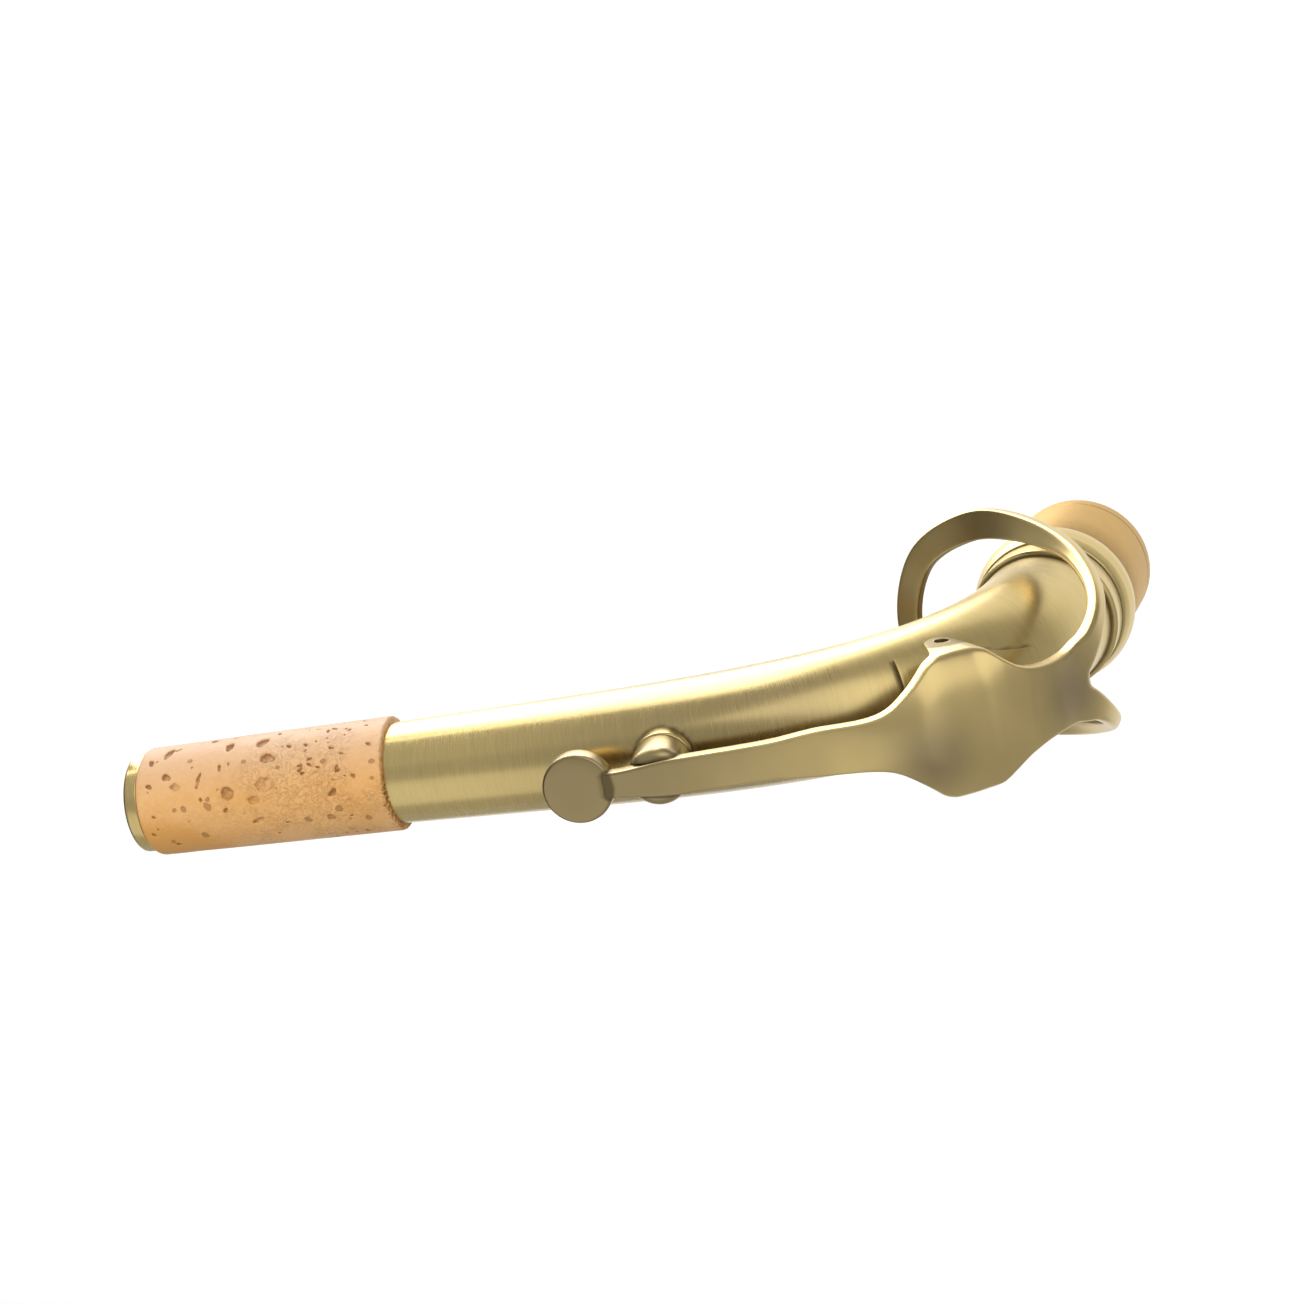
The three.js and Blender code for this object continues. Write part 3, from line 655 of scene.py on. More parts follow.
def pad_leather(name):
    """Fine brown leather over felt."""
    r = Recipe(name, Specular_IOR_Level=0.35)
    grain = r.cells(r.place(), 2600)
    cloud = r.grain(r.place(), scale=300, detail=3)
    base = r.tint(cloud * 0.8 + grain * 0.4, (0.30, 0.15, 0.07), (0.16, 0.075, 0.035))
    return r.drive(Base_Color=base, Roughness=cloud * 0.2 + 0.55, Normal=r.bump(grain, 0.00005, 0.5))


def turned_steel(name):
    """Turned steel with fine tool lines."""
    r = Recipe(name, Metallic=1.0)
    fine = r.grain(r.place((3000, 3000, 3000)))
    base = r.tint(r.grain(r.place(), scale=220), (0.36, 0.35, 0.34), (0.56, 0.55, 0.52))
    return r.drive(Base_Color=base, Roughness=fine * 0.2 + 0.22, Normal=r.bump(fine, 0.00001, 0.4))


def blued_steel(name):
    """Blued spring steel, straw-brown where the temper ran out."""
    r = Recipe(name, Metallic=1.0)
    lines = r.grain(r.place((400, 5000, 400)))
    base = r.tint(r.grain(r.place(), scale=160).above(0.45, 0.7), (0.10, 0.14, 0.24), (0.24, 0.19, 0.16))
    return r.drive(Base_Color=base, Roughness=lines * 0.2 + 0.2, Normal=r.bump(lines, 0.00001, 0.4))


def stage_paint(name, first, second, scale, rough):
    """Matt paint of the floor and the cards, nearly even."""
    r = Recipe(name)
    cloud = r.grain(r.place(), scale=scale)
    return r.drive(Base_Color=r.tint(cloud, first, second), Roughness=cloud * 0.05 + rough)


MAKERS = {
    "satin_brass": satin_brass, "key_brass": key_brass, "raw_brass": raw_brass, "cork": sheet_cork,
    "pad_leather": pad_leather, "steel": turned_steel, "spring_steel": blued_steel,
}
FINISHES = {}


def finish(slot):
    """The finish of a material slot, made once."""
    if slot not in FINISHES:
        FINISHES[slot] = MAKERS[slot](slot)
    return FINISHES[slot]


# Pieces

# How far a piece that sits on the tube reaches into it, so that no light shows between
SEATED = 0.0001
# Angles, in radians, at which a rounded edge has its points
EDGE_ANGLES = (0.52, 1.05, 1.57)


class NECK_OT_tube(bpy.types.Operator):
    """Model the bent, tapered tube with the pip's hole"""

    bl_idname = "neck.tube"
    bl_label = "Tube"

    def execute(self, context):
        s, k = neck_sizes(), key_sizes()
        low = s.tube_foot - s.bend_start
        places = [low, low / 2] + list(np.linspace(0, s.tube_length, 250))
        select_nothing()
        bpy.ops.curve.primitive_nurbs_path_add()
        curve = context.object.data
        curve.splines.clear()
        spline = curve.splines.new("POLY")
        spline.points.add(len(places) - 1)
        for point, place in zip(spline.points, places):
            point.co = (*centre(place), 1)
            point.radius = tube_radius(place) / s.tube_base
        curve.dimensions = "3D"
        curve.bevel_depth = s.tube_base
        curve.bevel_resolution = 58
        curve.use_fill_caps = False
        bpy.ops.object.convert(target="MESH")
        tube = named("neck_tube_brass")
        recalculate(tube)
        modified(tube, "SOLIDIFY", thickness=s.tube_wall, offset=-1, use_even_offset=True)
        softened(tube, 0.00012, 60, 2)
        cut(tube, rod("pip_hole", on_neck(k.pip_place, 0.004), on_neck(k.pip_place, 0.014), 0.002))
        done(brush_by_neck(tube), "neck", "satin_brass", "neck_tube", angle=40)
        return {"FINISHED"}


# The collar's bead: radius, height over the shoulder, rounding
COLLAR_BEAD = (
    (0.01295, 0, 0.0002), (0.01336, 0.0012, 0.002), (0.0134, 0.0026, 0.003), (0.01305, 0.0046, 0.003),
)


class NECK_OT_foot(bpy.types.Operator):
    """Turn the tenon, its collar and the ferrule"""

    bl_idname = "neck.foot"
    bl_label = "Tenon and collar"

    def execute(self, context):
        s = neck_sizes()
        shoulder = Vector((0, 0, 0)), Vector((0, 0, 1)), Vector((1, 0, 0))
        outer, end, top = s.tenon_radius, -s.tenon_length, s.tube_foot - s.gap
        bore, groove, groove_floor = outer - s.tenon_wall, end + 0.0026, outer - 0.00008
        turned_brass("tenon_brass", [
            (bore, top, 0), (bore, end, 0.00015), (outer, end, 0.00035), (outer, groove, 0),
            (groove_floor, groove + 0.0001, 0), (groove_floor, groove + 0.0003, 0),
            (outer, groove + 0.0004, 0), (outer, top, 0.0002),
        ], shoulder, "raw_brass", "tenon_sleeve")
        inner, throat = outer + s.gap, tube_radius(0) - 2 * SEATED
        turned_brass("collar_brass", [
            (inner, 0, 0.0001), *COLLAR_BEAD, (0.0124, s.collar_top, 0.0005),
            (throat, s.collar_top, 0.0001), (throat, s.tube_foot, 0), (inner, s.tube_foot, 0),
        ], shoulder, "satin_brass", "tenon_collar")
        low, high, rim, seat = s.collar_top + s.gap, s.ferrule_top, 0.01213, tube_radius(0.004) - 2 * SEATED
        turned_brass("ferrule_brass", [
            (seat, low, 0), (rim, low, 0.0002), (rim, high - 0.0004, 0.0005), (rim - 0.00053, high, 0.0004),
            (seat, high, 0),
        ], shoulder, "satin_brass", "neck_ferrule")
        return {"FINISHED"}


# Faces along the cork and round it, close enough for its pits
CORK_ROWS, CORK_SIDES = 240, 320


class NECK_OT_tip(bpy.types.Operator):
    """Turn the tip ring and wrap the cork"""

    bl_idname = "neck.tip"
    bl_label = "Tip ring and cork"

    def execute(self, context):
        s = neck_sizes()
        start = s.tube_length - s.tip_ring_length
        axis, arm = tangent(start), outward(start)
        bore, outer, deep = tube_radius(s.tube_length) - SEATED, s.tip_ring_radius, s.tip_ring_length
        turned_brass("tip_ring_brass", [
            (bore, 0, 0.0001), (outer, 0, 0.0003), (outer, deep, 0.0005), (bore, deep, 0.0001),
        ], (centre(start), axis, arm), "satin_brass", "tip_ring")
        tip = start - 0.00005
        inner = tip - s.cork_length
        taper = s.cork_tip_radius - s.cork_radius
        cork = spun("cork_sleeve", [
            (tube_radius(inner) - SEATED, 0, 0), (s.cork_radius, 0, 0.00035),
            *((s.cork_radius + taper * i / CORK_ROWS, s.cork_length * i / CORK_ROWS, 0)
              for i in range(4, CORK_ROWS - 6)),
            (s.cork_tip_radius, s.cork_length, 0.0009), (tube_radius(tip) - SEATED, s.cork_length, 0),
        ], centre(inner), axis, arm, CORK_SIDES, rounding=5)
        pit_cork(cork, centre(inner), axis, arm)
        done(cork, "neck", "cork", "neck_cork", angle=60)
        return {"FINISHED"}


# Large pits of the cork: mm from its tip end, degrees round from the top, half length and
# half width in mm, slant in degrees, depth as a share of the half width
LARGE_PITS = [
    (5, -75, 1.5, 0.6, -70, 0.5), (12, -92, 0.9, 0.5, 60, 0.4), (15.5, -73, 1.1, 0.7, 85, 0.6),
    (21, -73, 1.2, 0.8, -45, 0.5), (22.5, -50, 1.4, 0.9, 5, 0.35), (22, -22, 1.6, 1.3, 5, 0.1),
    (15.5, -17, 1.2, 1, 5, 0.35), (20, -7, 1.1, 0.8, -5, 0.2), (5.5, -42, 0.8, 0.6, 25, 0.45),
    (7, -30, 0.9, 0.7, 30, 0.2), (11, -35, 1.6, 0.3, -75, 0.5), (33, -6, 0.9, 0.5, -35, 0.6),
    (20, 15, 1.1, 0.4, -20, 0.3), (2.5, -62, 0.7, 0.4, 70, 0.6), (2.5, -34, 0.6, 0.4, 30, 0.7),
]
SMALL_PITS = 54
DEEPEST_PIT = 0.32
# How wide the frayed inner edge of the cork is, and how far it reaches out
FRAYED, FRAY_REACH = 0.0011, 0.0012


def cork_pits():
    """The large pits, then small ones strewn over the sheet, every other one near its inner end."""
    strewn = np.random.default_rng(7)
    pits = list(LARGE_PITS)
    for i in range(SMALL_PITS):
        crowded = i % 2
        far = strewn.uniform(28, 40) if crowded else strewn.uniform(1.5, 39.5)
        turn = strewn.uniform(-88, -20) if crowded else strewn.uniform(-95, 88)
        half = strewn.uniform(0.2, 0.6)
        slim, slant, depth = (strewn.uniform(*span) for span in ((0.35, 0.7), (-90, 90), (0.5, 0.9)))
        pits.append((far, turn, half, half * slim, slant, depth))
    return pits


def pit_cork(cork, middle, axis, arm):
    """Sinks the pits into the cork, frays its inner edge and stores how dark each point is,
    shade painted on one side of each pit included. The side turned away has the same pits,
    half a turn round and counted from the other end."""
    s, pits, verts = neck_sizes(), cork_pits(), cork.data.vertices
    coords = points_of(cork) - np.array(middle)
    along, rise, side = coords @ np.array(axis), coords @ np.array(arm), coords[:, 1]
    reach, around = np.hypot(rise, side), np.arctan2(side, rise)
    outer = reach > s.cork_tip_radius - 0.001
    wobble, wave = (np.array([noise.noise(vertex.co * scale) for vertex in verts]) for scale in (1500, 330))
    dents, marks = np.zeros(len(verts)), np.zeros(len(verts))
    for back in (False, True):
        for far, turn, long_half, wide_half, slant, depth in pits:
            x = (far * MM if back else s.cork_length - far * MM) - along
            angle = math.radians(turn + 180 * back)
            y = ((around - angle + math.pi) % (2 * math.pi) - math.pi) * reach
            c, d = math.cos(math.radians(slant)), math.sin(math.radians(slant))
            off = np.hypot((x * c + y * d) / (long_half * MM), (y * c - x * d) / (wide_half * MM))
            off = off + wobble * 0.30 + wave * 0.25
            share = np.clip((1.12 - off) / 0.34, 0, 1)
            share = share * share * (3 - 2 * share) * outer
            rim = np.exp(-(((off - 0.82) / 0.16) ** 2)) * outer
            # Painted shade: each pit is darker towards one side.
            shaded = np.clip((x * 0.6 + y * 0.8) / (-wide_half * MM), -0.4, 1) * 0.25 + 0.62
            dents = np.maximum(dents, share * min(depth * wide_half, DEEPEST_PIT) * MM)
            marks = np.maximum(marks, (share * shaded + rim * 0.22) * (0.4 + 0.6 * min(1, depth * 1.6)))
    store(cork, "pit", marks)
    dents += np.clip(wave, 0, 1) * 0.00005 * outer
    for i, vertex in enumerate(verts):
        if not outer[i]:
            continue
        out = (Vector(coords[i]) - axis * along[i]).normalized()
        vertex.co -= out * dents[i]
        if along[i] < FRAYED:
            ragged = (1 - along[i] / FRAYED) * min(max(0.55 + side[i] / reach[i], 0.25), 1)
            vertex.co += axis * abs(noise.fractal(vertex.co * 1100, 1.0, 2.0, 3)) * FRAY_REACH * ragged
            vertex.co -= out * abs(wobble[i]) * 0.0002 * ragged


# Share of the plate's length, then share of its half width
PLATE_SHARES = [
    (0, 1), (0.2, 1), (0.35, 1), (0.46, 0.93), (0.57, 0.75), (0.67, 0.61), (0.81, 0.5), (0.92, 0.44),
    (0.97, 0.33), (1, 0.14),
]


class NECK_OT_plate(bpy.types.Operator):
    """Form the plate with its tongue on the tube"""

    bl_idname = "neck.plate"
    bl_label = "Saddle plate"

    def execute(self, context):
        s = neck_sizes()
        head, span, half_width = 0.0451, 0.0205, 0.0084

        def where(u, v):
            place = head - v * span
            out = tube_radius(place) + s.gap
            half = between(PLATE_SHARES, v) * half_width / out
            angle = (2 * u - 1) * half
            return on_neck(place, out * math.cos(angle), out * math.sin(angle))

        plate = grid_piece("saddle_plate_brass", 48, 90, where)
        modified(plate, "SOLIDIFY", thickness=s.plate_thickness, offset=1)
        recalculate(plate)
        softened(plate, 0.00018, 50, 3)
        done(brush_by_neck(plate), "neck", "satin_brass", "saddle_plate", angle=40)
        return {"FINISHED"}


# Share of the key's length, then shares of its half width, height, fold and crown
KEY_SHARES = [
    (0, 0.18, 0.832, 0.13, 0), (0.04, 0.18, 0.834, 0.13, 0), (0.09, 0.21, 0.838, 0.13, 0),
    (0.17, 0.255, 0.832, 0.13, 0.01), (0.27, 0.255, 0.82, 0.13, 0.02), (0.38, 0.265, 0.828, 0.13, 0.03),
    (0.48, 0.325, 0.861, 0.15, 0.04), (0.55, 0.34, 0.923, 0.16, 0.06), (0.6, 0.39, 0.98, 0.17, 0.14),
    (0.64, 0.57, 1.025, 0.19, 0.32), (0.67, 0.76, 1.055, 0.22, 0.6), (0.698, 0.94, 1.065, 0.28, 0.85),
    (0.72, 1, 1.068, 0.33, 0.97), (0.748, 1.01, 1.07, 0.36, 1), (0.775, 1.003, 1.075, 0.36, 1),
    (0.798, 0.965, 1.085, 0.34, 0.8), (0.821, 0.795, 1.092, 0.3, 0.4), (0.85, 0.615, 1.094, 0.25, 0.14),
    (0.88, 0.535, 1.078, 0.22, 0.06), (0.92, 0.5, 1.048, 0.2, 0.05), (0.96, 0.505, 1.011, 0.2, 0.05),
    (1, 0.61, 0.991, 0.2, 0.05),
]
# Points of the ring's centreline from its far side to the bib, as shares of its reach, half
# width and rise
RING_SHARES = [
    (1, 0, 0.135), (0.856, 0.669, 0.112), (0.44, 0.994, 0.163), (0, 1, 0.301),
    (-0.4, 0.843, 0.516), (-0.605, 0.566, 0.763), (-0.535, 0.217, 1), (-0.42, -0.02, 1.18),
]
# Radius of the casting's edges
EDGE = 0.00035
# Play between the pivot screw and its holes
PLAY = 0.00015


def ear_bottom(place):
    """Height over the centreline down to which the ears reach at a place along the tube."""
    k = key_sizes()
    boss, taper, stretch = 0.0028, 0.0026, 1.37
    off = abs(place - k.pivot_place) * stretch
    if off < boss * 0.97:
        return k.pivot_height - math.sqrt(boss**2 - off**2)
    return k.pivot_height + (off - boss) / taper * (k.height - k.pivot_height)


def saddle_half(along):
    """Half section of the key at a share of its length, from the middle of its outer face
    over the folded edge or ear to the middle of its inner face, as points on the +Y side."""
    k = key_sizes()
    depth = k.thickness
    place = k.arm_end - along * (k.arm_end - k.bib_end)
    whole = (k.half_width, k.height, k.fold, k.crown)
    half, height, fold, crown = (between(KEY_SHARES, along, i + 1) * size for i, size in enumerate(whole))
    deep = max(depth, fold + 2 * EDGE)
    if 0.6 < along < 0.9:
        deep = max(deep, height - crown - ear_bottom(place))
    wall = min(k.ear_wall, half * 0.4)
    section = [(share * (half - fold), 0) for share in (0, 0.22, 0.44, 0.64, 0.84, 1)]
    section += [(half - fold * (1 - math.sin(a)), fold * (1 - math.cos(a))) for a in EDGE_ANGLES]
    section += [(half, (fold + deep) / 2), (half, deep - EDGE), (half - EDGE * 0.3, deep - EDGE * 0.3)]
    section += [(half - EDGE, deep), (half - wall + EDGE, deep), (half - wall, max(deep - EDGE, depth))]
    section += [(half - wall, max((deep + depth) / 2, depth)), (half - wall * 1.3, depth)]
    section += [(0.22 * (half - fold), depth), (0, depth)]
    return [on_neck(place, height - drop - crown * (side / half) ** 2.6, side) for side, drop in section]


def ring_path():
    """Half of the ring's centreline, from the far side to the bib: a function that gives its
    point and its direction at a share of the way."""
    k = key_sizes()
    size = Vector((k.ring_reach, k.ring_half_width, k.ring_rise))
    points = [Vector(share) * size for share in RING_SHARES]
    mirrored = [Vector((points[1].x, -points[1].y, points[1].z)), *points, 2 * points[-1] - points[-2]]

    def at(share):
        spot = min(max(share, 0), 1) * (len(points) - 1)
        i = min(int(spot), len(points) - 2)
        u = spot - i
        p0, p1, p2, p3 = mirrored[i : i + 4]
        t01, t12, t23 = ((b - a).length ** 0.5 for a, b in ((p0, p1), (p1, p2), (p2, p3)))
        m1 = ((p1 - p0) / t01 - (p2 - p0) / (t01 + t12) + (p2 - p1) / t12) * t12
        m2 = ((p2 - p1) / t12 - (p3 - p1) / (t12 + t23) + (p3 - p2) / t23) * t12
        a = 2 * (p1 - p2) + m1 + m2
        b = -3 * (p1 - p2) - 2 * m1 - m2
        return a * u**3 + b * u**2 + m1 * u + p1, (3 * a * u**2 + 2 * b * u + m1).normalized()

    return at


def branch_section(path, share):
    """Section of the ring at a share of the way from its far side to the bib. Its points
    match the saddle's half section, and four more close it on the side of the notch."""
    point, along = path(share)
    turned = step_between(share, 0.26, 0.6)
    tilt = -0.32 + 0.72 * turned
    wide = 0.0043 + 0.0007 * step_between(share, 0, 0.28) - 0.0024 * step_between(share, 0.3, 0.66)
    thick = 0.0018 + 0.0009 * step_between(share, 0.28, 0.6)
    level = Vector((point.x - 0.004, point.y * (1 - 0.4 * turned), 0)).normalized()
    facing = level * math.cos(tilt) + Vector((0, 0, math.sin(tilt)))
    facing = (facing - along * facing.dot(along)).normalized()
    up = facing.cross(along).normalized()
    a, b, c = wide / 2, thick / 2, EDGE + 0.0005 * step_between(share, 0.3, 0.6)
    spots = [(a, (b - c) * (2 * v - 1)) for v in (0, 0.25, 0.5, 0.75, 1)]
    spots += [(a - c * (1 - math.cos(w)), b - c * (1 - math.sin(w))) for w in EDGE_ANGLES]
    spots += [(0.3 * a, b), (-0.3 * a, b), (c - a, b), (0.3 * c - a, b - 0.3 * c), (-a, b - c)]
    spots += [(-a, 0.5 * b), (-a, 0), (-a, -0.5 * b), (-a, c - b)]
    spots += [(0.3 * c - a, 0.3 * c - b), (c - a, -b), (a - c, -b), (a - 0.3 * c, 0.3 * c - b)]
    return [point + facing * side + up * rise for side, rise in spots]


def notch_side(row):
    """Side of the ring's branch in the notch, between the bib's inner and outer faces."""
    return row[1:-1] + [row[-2].lerp(row[1], share) for share in (0.2, 0.4, 0.6, 0.8)]


def ring_sections(before, here):
    """Sections from the bib's end, whose side in the notch is here, over a smooth bridge and
    down the branch to the ring's far side."""
    path, start = ring_path(), 0.73
    there, beyond = branch_section(path, start), branch_section(path, start - 0.02)
    sections = [here]
    for u in (0.2, 0.4, 0.6, 0.8):
        weights, section = curve_weights(u), []
        for a0, a, b, b1 in zip(before, here, there, beyond, strict=True):
            reach = (b - a).length
            ends = (a, (a - a0).normalized() * reach * 0.9, b, (b1 - b).normalized() * reach)
            section.append(sum((end * weight for end, weight in zip(ends, weights)), Vector()))
        sections.append(section)
    sections += [branch_section(path, share) for share in np.linspace(start, 0, 44)]
    smoothings, smoothed = 5, range(1, 14)
    for _ in range(smoothings):
        for i in smoothed:
            neighbours = zip(sections[i], sections[i - 1], sections[i + 1], strict=True)
            sections[i] = [point.lerp((a + b) / 2, 0.5) for point, a, b in neighbours]
    return sections


def model_casting():
    """Arm, saddle, bib and ring as one casting. The points of its +Y half are set section by
    section, mirrored and smoothed; at the bib's end the section parts into the two branches."""
    shares = [*np.linspace(0, 0.66, 30), *np.linspace(0.67, 0.86, 36), *np.linspace(0.88, 1.012, 7)]
    rows = [saddle_half(share) for share in shares]
    count = len(rows[0])
    points = [point for row in rows for point in row]
    faces = []
    for i in range(len(rows) - 1):
        for a in range(i * count, i * count + count - 1):
            faces.append((a, a + count, a + count + 1, a + 1))
    faces.append(tuple(range(count)))
    base, total = len(points) - count, len(points)
    first = list(range(base + 1, total - 1)) + list(range(total, total + 4))
    faces.append((base, base + 1, *range(total + 3, total - 1, -1), total - 2, total - 1))
    here = notch_side(rows[-1])
    points += here[-4:]
    for section in ring_sections(notch_side(rows[-2]), here)[1:]:
        spots = list(range(len(points), len(points) + len(section)))
        points += section
        for j in range(len(section)):
            n = (j + 1) % len(section)
            faces.append((first[j], spots[j], spots[n], first[n]))
        first = spots
    for point in points:
        if point.y < 1e-5:
            point.y = 0
    casting = faced("octave_key_brass", points, faces)
    modified(casting, "MIRROR", use_axis=(False, True, False), use_clip=True, merge_threshold=1e-5)
    recalculate(casting, 1e-6)
    return modified(casting, "SUBSURF", levels=2, render_levels=2)


class NECK_OT_key(bpy.types.Operator):
    """Cast the octave key: arm, saddle, ears, bib and ring"""

    bl_idname = "neck.key"
    bl_label = "Octave key"

    def execute(self, context):
        k = key_sizes()
        casting = model_casting()
        outside, inside = (on_neck(k.pivot_place, k.pivot_height, side) for side in (-0.013, 0.0102))
        cut(casting, rod("pivot_hole", outside, inside, k.screw_radius + PLAY, 48))
        done(casting, "octave_key", "key_brass", "key_saddle", "key_ring", angle=35)
        return {"FINISHED"}


class NECK_OT_pivot(bpy.types.Operator):
    """Model the pivot's post and the pivot screw"""

    bl_idname = "neck.pivot"
    bl_label = "Pivot post and screw"

    def execute(self, context):
        k, s = key_sizes(), neck_sizes()
        pivot = on_neck(k.pivot_place, k.pivot_height)
        up, ahead = outward(k.pivot_place), tangent(k.pivot_place)
        bore, outer, half = k.screw_radius + PLAY, 0.0023, 0.0083
        barrel = spun("pivot_post_brass", [
            (bore, -half, 0), (outer, -half, 0.0003), (outer, half, 0.0003), (bore, half, 0),
        ], pivot, ACROSS, up, 64)
        low, high = tube_radius(k.pivot_place) + s.gap + s.plate_thickness + s.gap, 0.0135
        foot = on_neck(k.pivot_place, (low + high) / 2)
        cut(barrel, softened(bar("web", foot, ahead, (0.003, 0.012, high - low), 0.9), 0.0002), "UNION")
        done(brush_by_axis(barrel, pivot, ACROSS), "neck", "satin_brass", "pivot_post")
        head, end, outer = -0.0094, 0.01005, k.screw_radius
        screw = spun("pivot_screw_steel", [
            (0, head, 0), (outer, head, 0.00015), (outer, end, 0.0001), (0, end, 0),
        ], pivot, ACROSS, up, 48)
        cut(screw, bar("slot", pivot + ACROSS * (head - 0.00005), ahead, (0.0004, 0.0011, 0.0024)))
        done(screw, "octave_key", "steel", "hinge_screw")
        return {"FINISHED"}


class NECK_OT_disc(bpy.types.Operator):
    """Turn the blank disc, the pad cup and its pad"""

    bl_idname = "neck.disc"
    bl_label = "Disc, cup and pad"

    def execute(self, context):
        k, s = key_sizes(), neck_sizes()
        low, high, radius = 0.0156, 0.01877, k.disc_radius
        disc = spun_on_neck("badge_disc_brass", [
            (0, low, 0), (radius, low, 0.0006), (radius, high, 0.0005), (radius * 0.55, high + 0.00002, 0),
            (0, high, 0),
        ], k.disc_place, 128, lean=0.02)
        done(disc, "octave_key", "key_brass", "badge_disc")
        surface, floor = tube_radius(k.pip_place), k.pad_top + s.gap
        low, high, radius, bore = surface + 0.0025, 0.01836, k.cup_radius, k.cup_radius - 0.0006
        cup = spun_on_neck("pad_cup_brass", [
            (0, floor, 0), (bore, floor, 0.0003), (bore, low, 0.0001), (radius, low, 0.00015),
            (radius, high, 0.0017), (0, high, 0),
        ], k.pip_place, rounding=8)
        seat = on_neck(k.pip_place, high + s.gap)
        cut(cup, bar("groove", seat, tangent(k.pip_place), (0.014, 0.0052, 0.00568)))
        done(cup, "octave_key", "key_brass", "pad_cup")
        low, high, radius = surface + 0.00235, k.pad_top, bore - s.gap
        pad = spun_on_neck("octave_pad_leather", [
            (0, low, 0), (0.0011, low, 0.0003), (0.0016, low + 0.00012, 0.0003), (0.0022, low, 0.0004),
            (radius, low, 0.0006), (radius, high, 0.0003), (0, high, 0),
        ], k.pip_place)
        done(pad, "octave_key", "pad_leather", "octave_pad")
        return {"FINISHED"}


class NECK_OT_pip(bpy.types.Operator):
    """Turn the octave pip and its flange"""

    bl_idname = "neck.pip"
    bl_label = "Pip and flange"

    def execute(self, context):
        k = key_sizes()
        surface = tube_radius(k.pip_place)
        bore, outer, low, high = 0.0008, 0.0017, surface - 0.0032, surface + 0.00205
        pip = spun_on_neck("octave_pip_brass", [
            (bore, low, 0), (outer, low, 0.0002), (outer, high, 0.00025), (bore, high, 0.0002),
        ], k.pip_place, 64)
        done(brush_by_neck(pip), "neck", "satin_brass", "octave_pip")
        bore, outer, low, high = 0.002, k.flange_radius, surface * 0.6, surface + 0.0017
        flange = spun_on_neck("pip_flange_brass", [
            (bore, low, 0), (outer, low, 0), (outer, high, 0.0004), (bore, high, 0.0002),
        ], k.pip_place, 128)
        ends = (k.pip_place - 0.008, k.pip_place + 0.008)
        along = centre(ends[1]) - centre(ends[0])
        select_nothing()
        bpy.ops.mesh.primitive_cone_add(
            vertices=96, radius1=tube_radius(ends[0]) + 0.0002, radius2=tube_radius(ends[1]) + 0.0002,
            depth=along.length, location=centre(k.pip_place),
            rotation=along.to_track_quat("Z", "Y").to_euler())
        cut(flange, context.object)
        done(brush_by_neck(flange), "neck", "satin_brass", "pip_flange")
        return {"FINISHED"}


class NECK_OT_spring(bpy.types.Operator):
    """Bend the flat spring under the bib and fit its screw"""

    bl_idname = "neck.spring"
    bl_label = "Spring and screw"

    def execute(self, context):
        s, k = neck_sizes(), key_sizes()
        fixed, leaves, tip, half_width, thick = 0.0402, 0.0364, 0.0312, 0.0018, k.spring_thickness

        def under_bib(place):
            share = (k.arm_end - place) / (k.arm_end - k.bib_end)
            return between(KEY_SHARES, share, 2) * k.height - k.thickness - s.gap

        def top(place):
            high = under_bib(max(place, leaves))
            if place >= leaves:
                return high
            low = tube_radius(tip) + s.gap + s.plate_thickness + s.gap + thick
            return high + (low - high) * math.sin((leaves - place) / (leaves - tip) * math.pi / 2) ** 2

        def where(u, v):
            place = fixed + (tip - fixed) * v
            return on_neck(place, top(place) - thick, (2 * u - 1) * half_width)

        spring = grid_piece("flat_spring_steel", 6, 40, where)
        modified(spring, "SOLIDIFY", thickness=thick, offset=1)
        recalculate(spring)
        softened(spring, 0.00008, 50, 2)
        smooth(spring, 40)
        spring.data.materials.append(finish("spring_steel"))
        start, end = on_neck(leaves, top(leaves)), on_neck(tip, top(tip))
        tuple(start)
        tuple(end)
        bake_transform(spring)
        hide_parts("flat_spring")
        place, shank, head = 0.0384, 0.0008, 0.0015
        seat = top(place) - thick - s.gap
        low, high = seat - 0.0009, seat + 0.0025
        screw = spun_on_neck("spring_screw_steel", [
            (0, low, 0), (head, low, 0.0003), (head, seat, 0.0001), (shank, seat, 0), (shank, high, 0.0001),
            (0, high, 0),
        ], place, 48)
        done(screw, "octave_key", "steel", "spring_screw")
        return {"FINISHED"}


def closeness(tree, spot, near, far):
    """1 where a point is near a surface, 0 where it is far from it, smooth between."""
    hit = tree.find_nearest(spot, far)
    return 1 - step_between(hit[3], near, far) if hit[0] else 0


def seam_patina_and_shade(trees, spot):
    """How dark the seam with the nearest of these surfaces is made: antiquing left in it, together with
    painted contact shade.
    """
    hits = [tree.find_nearest(spot, 0.002) for tree in trees]
    near = min((hit[3] for hit in hits if hit[0]), default=1.0)
    return math.exp(-((max(near - 0.0002, 0) / 0.0004) ** 1.3))


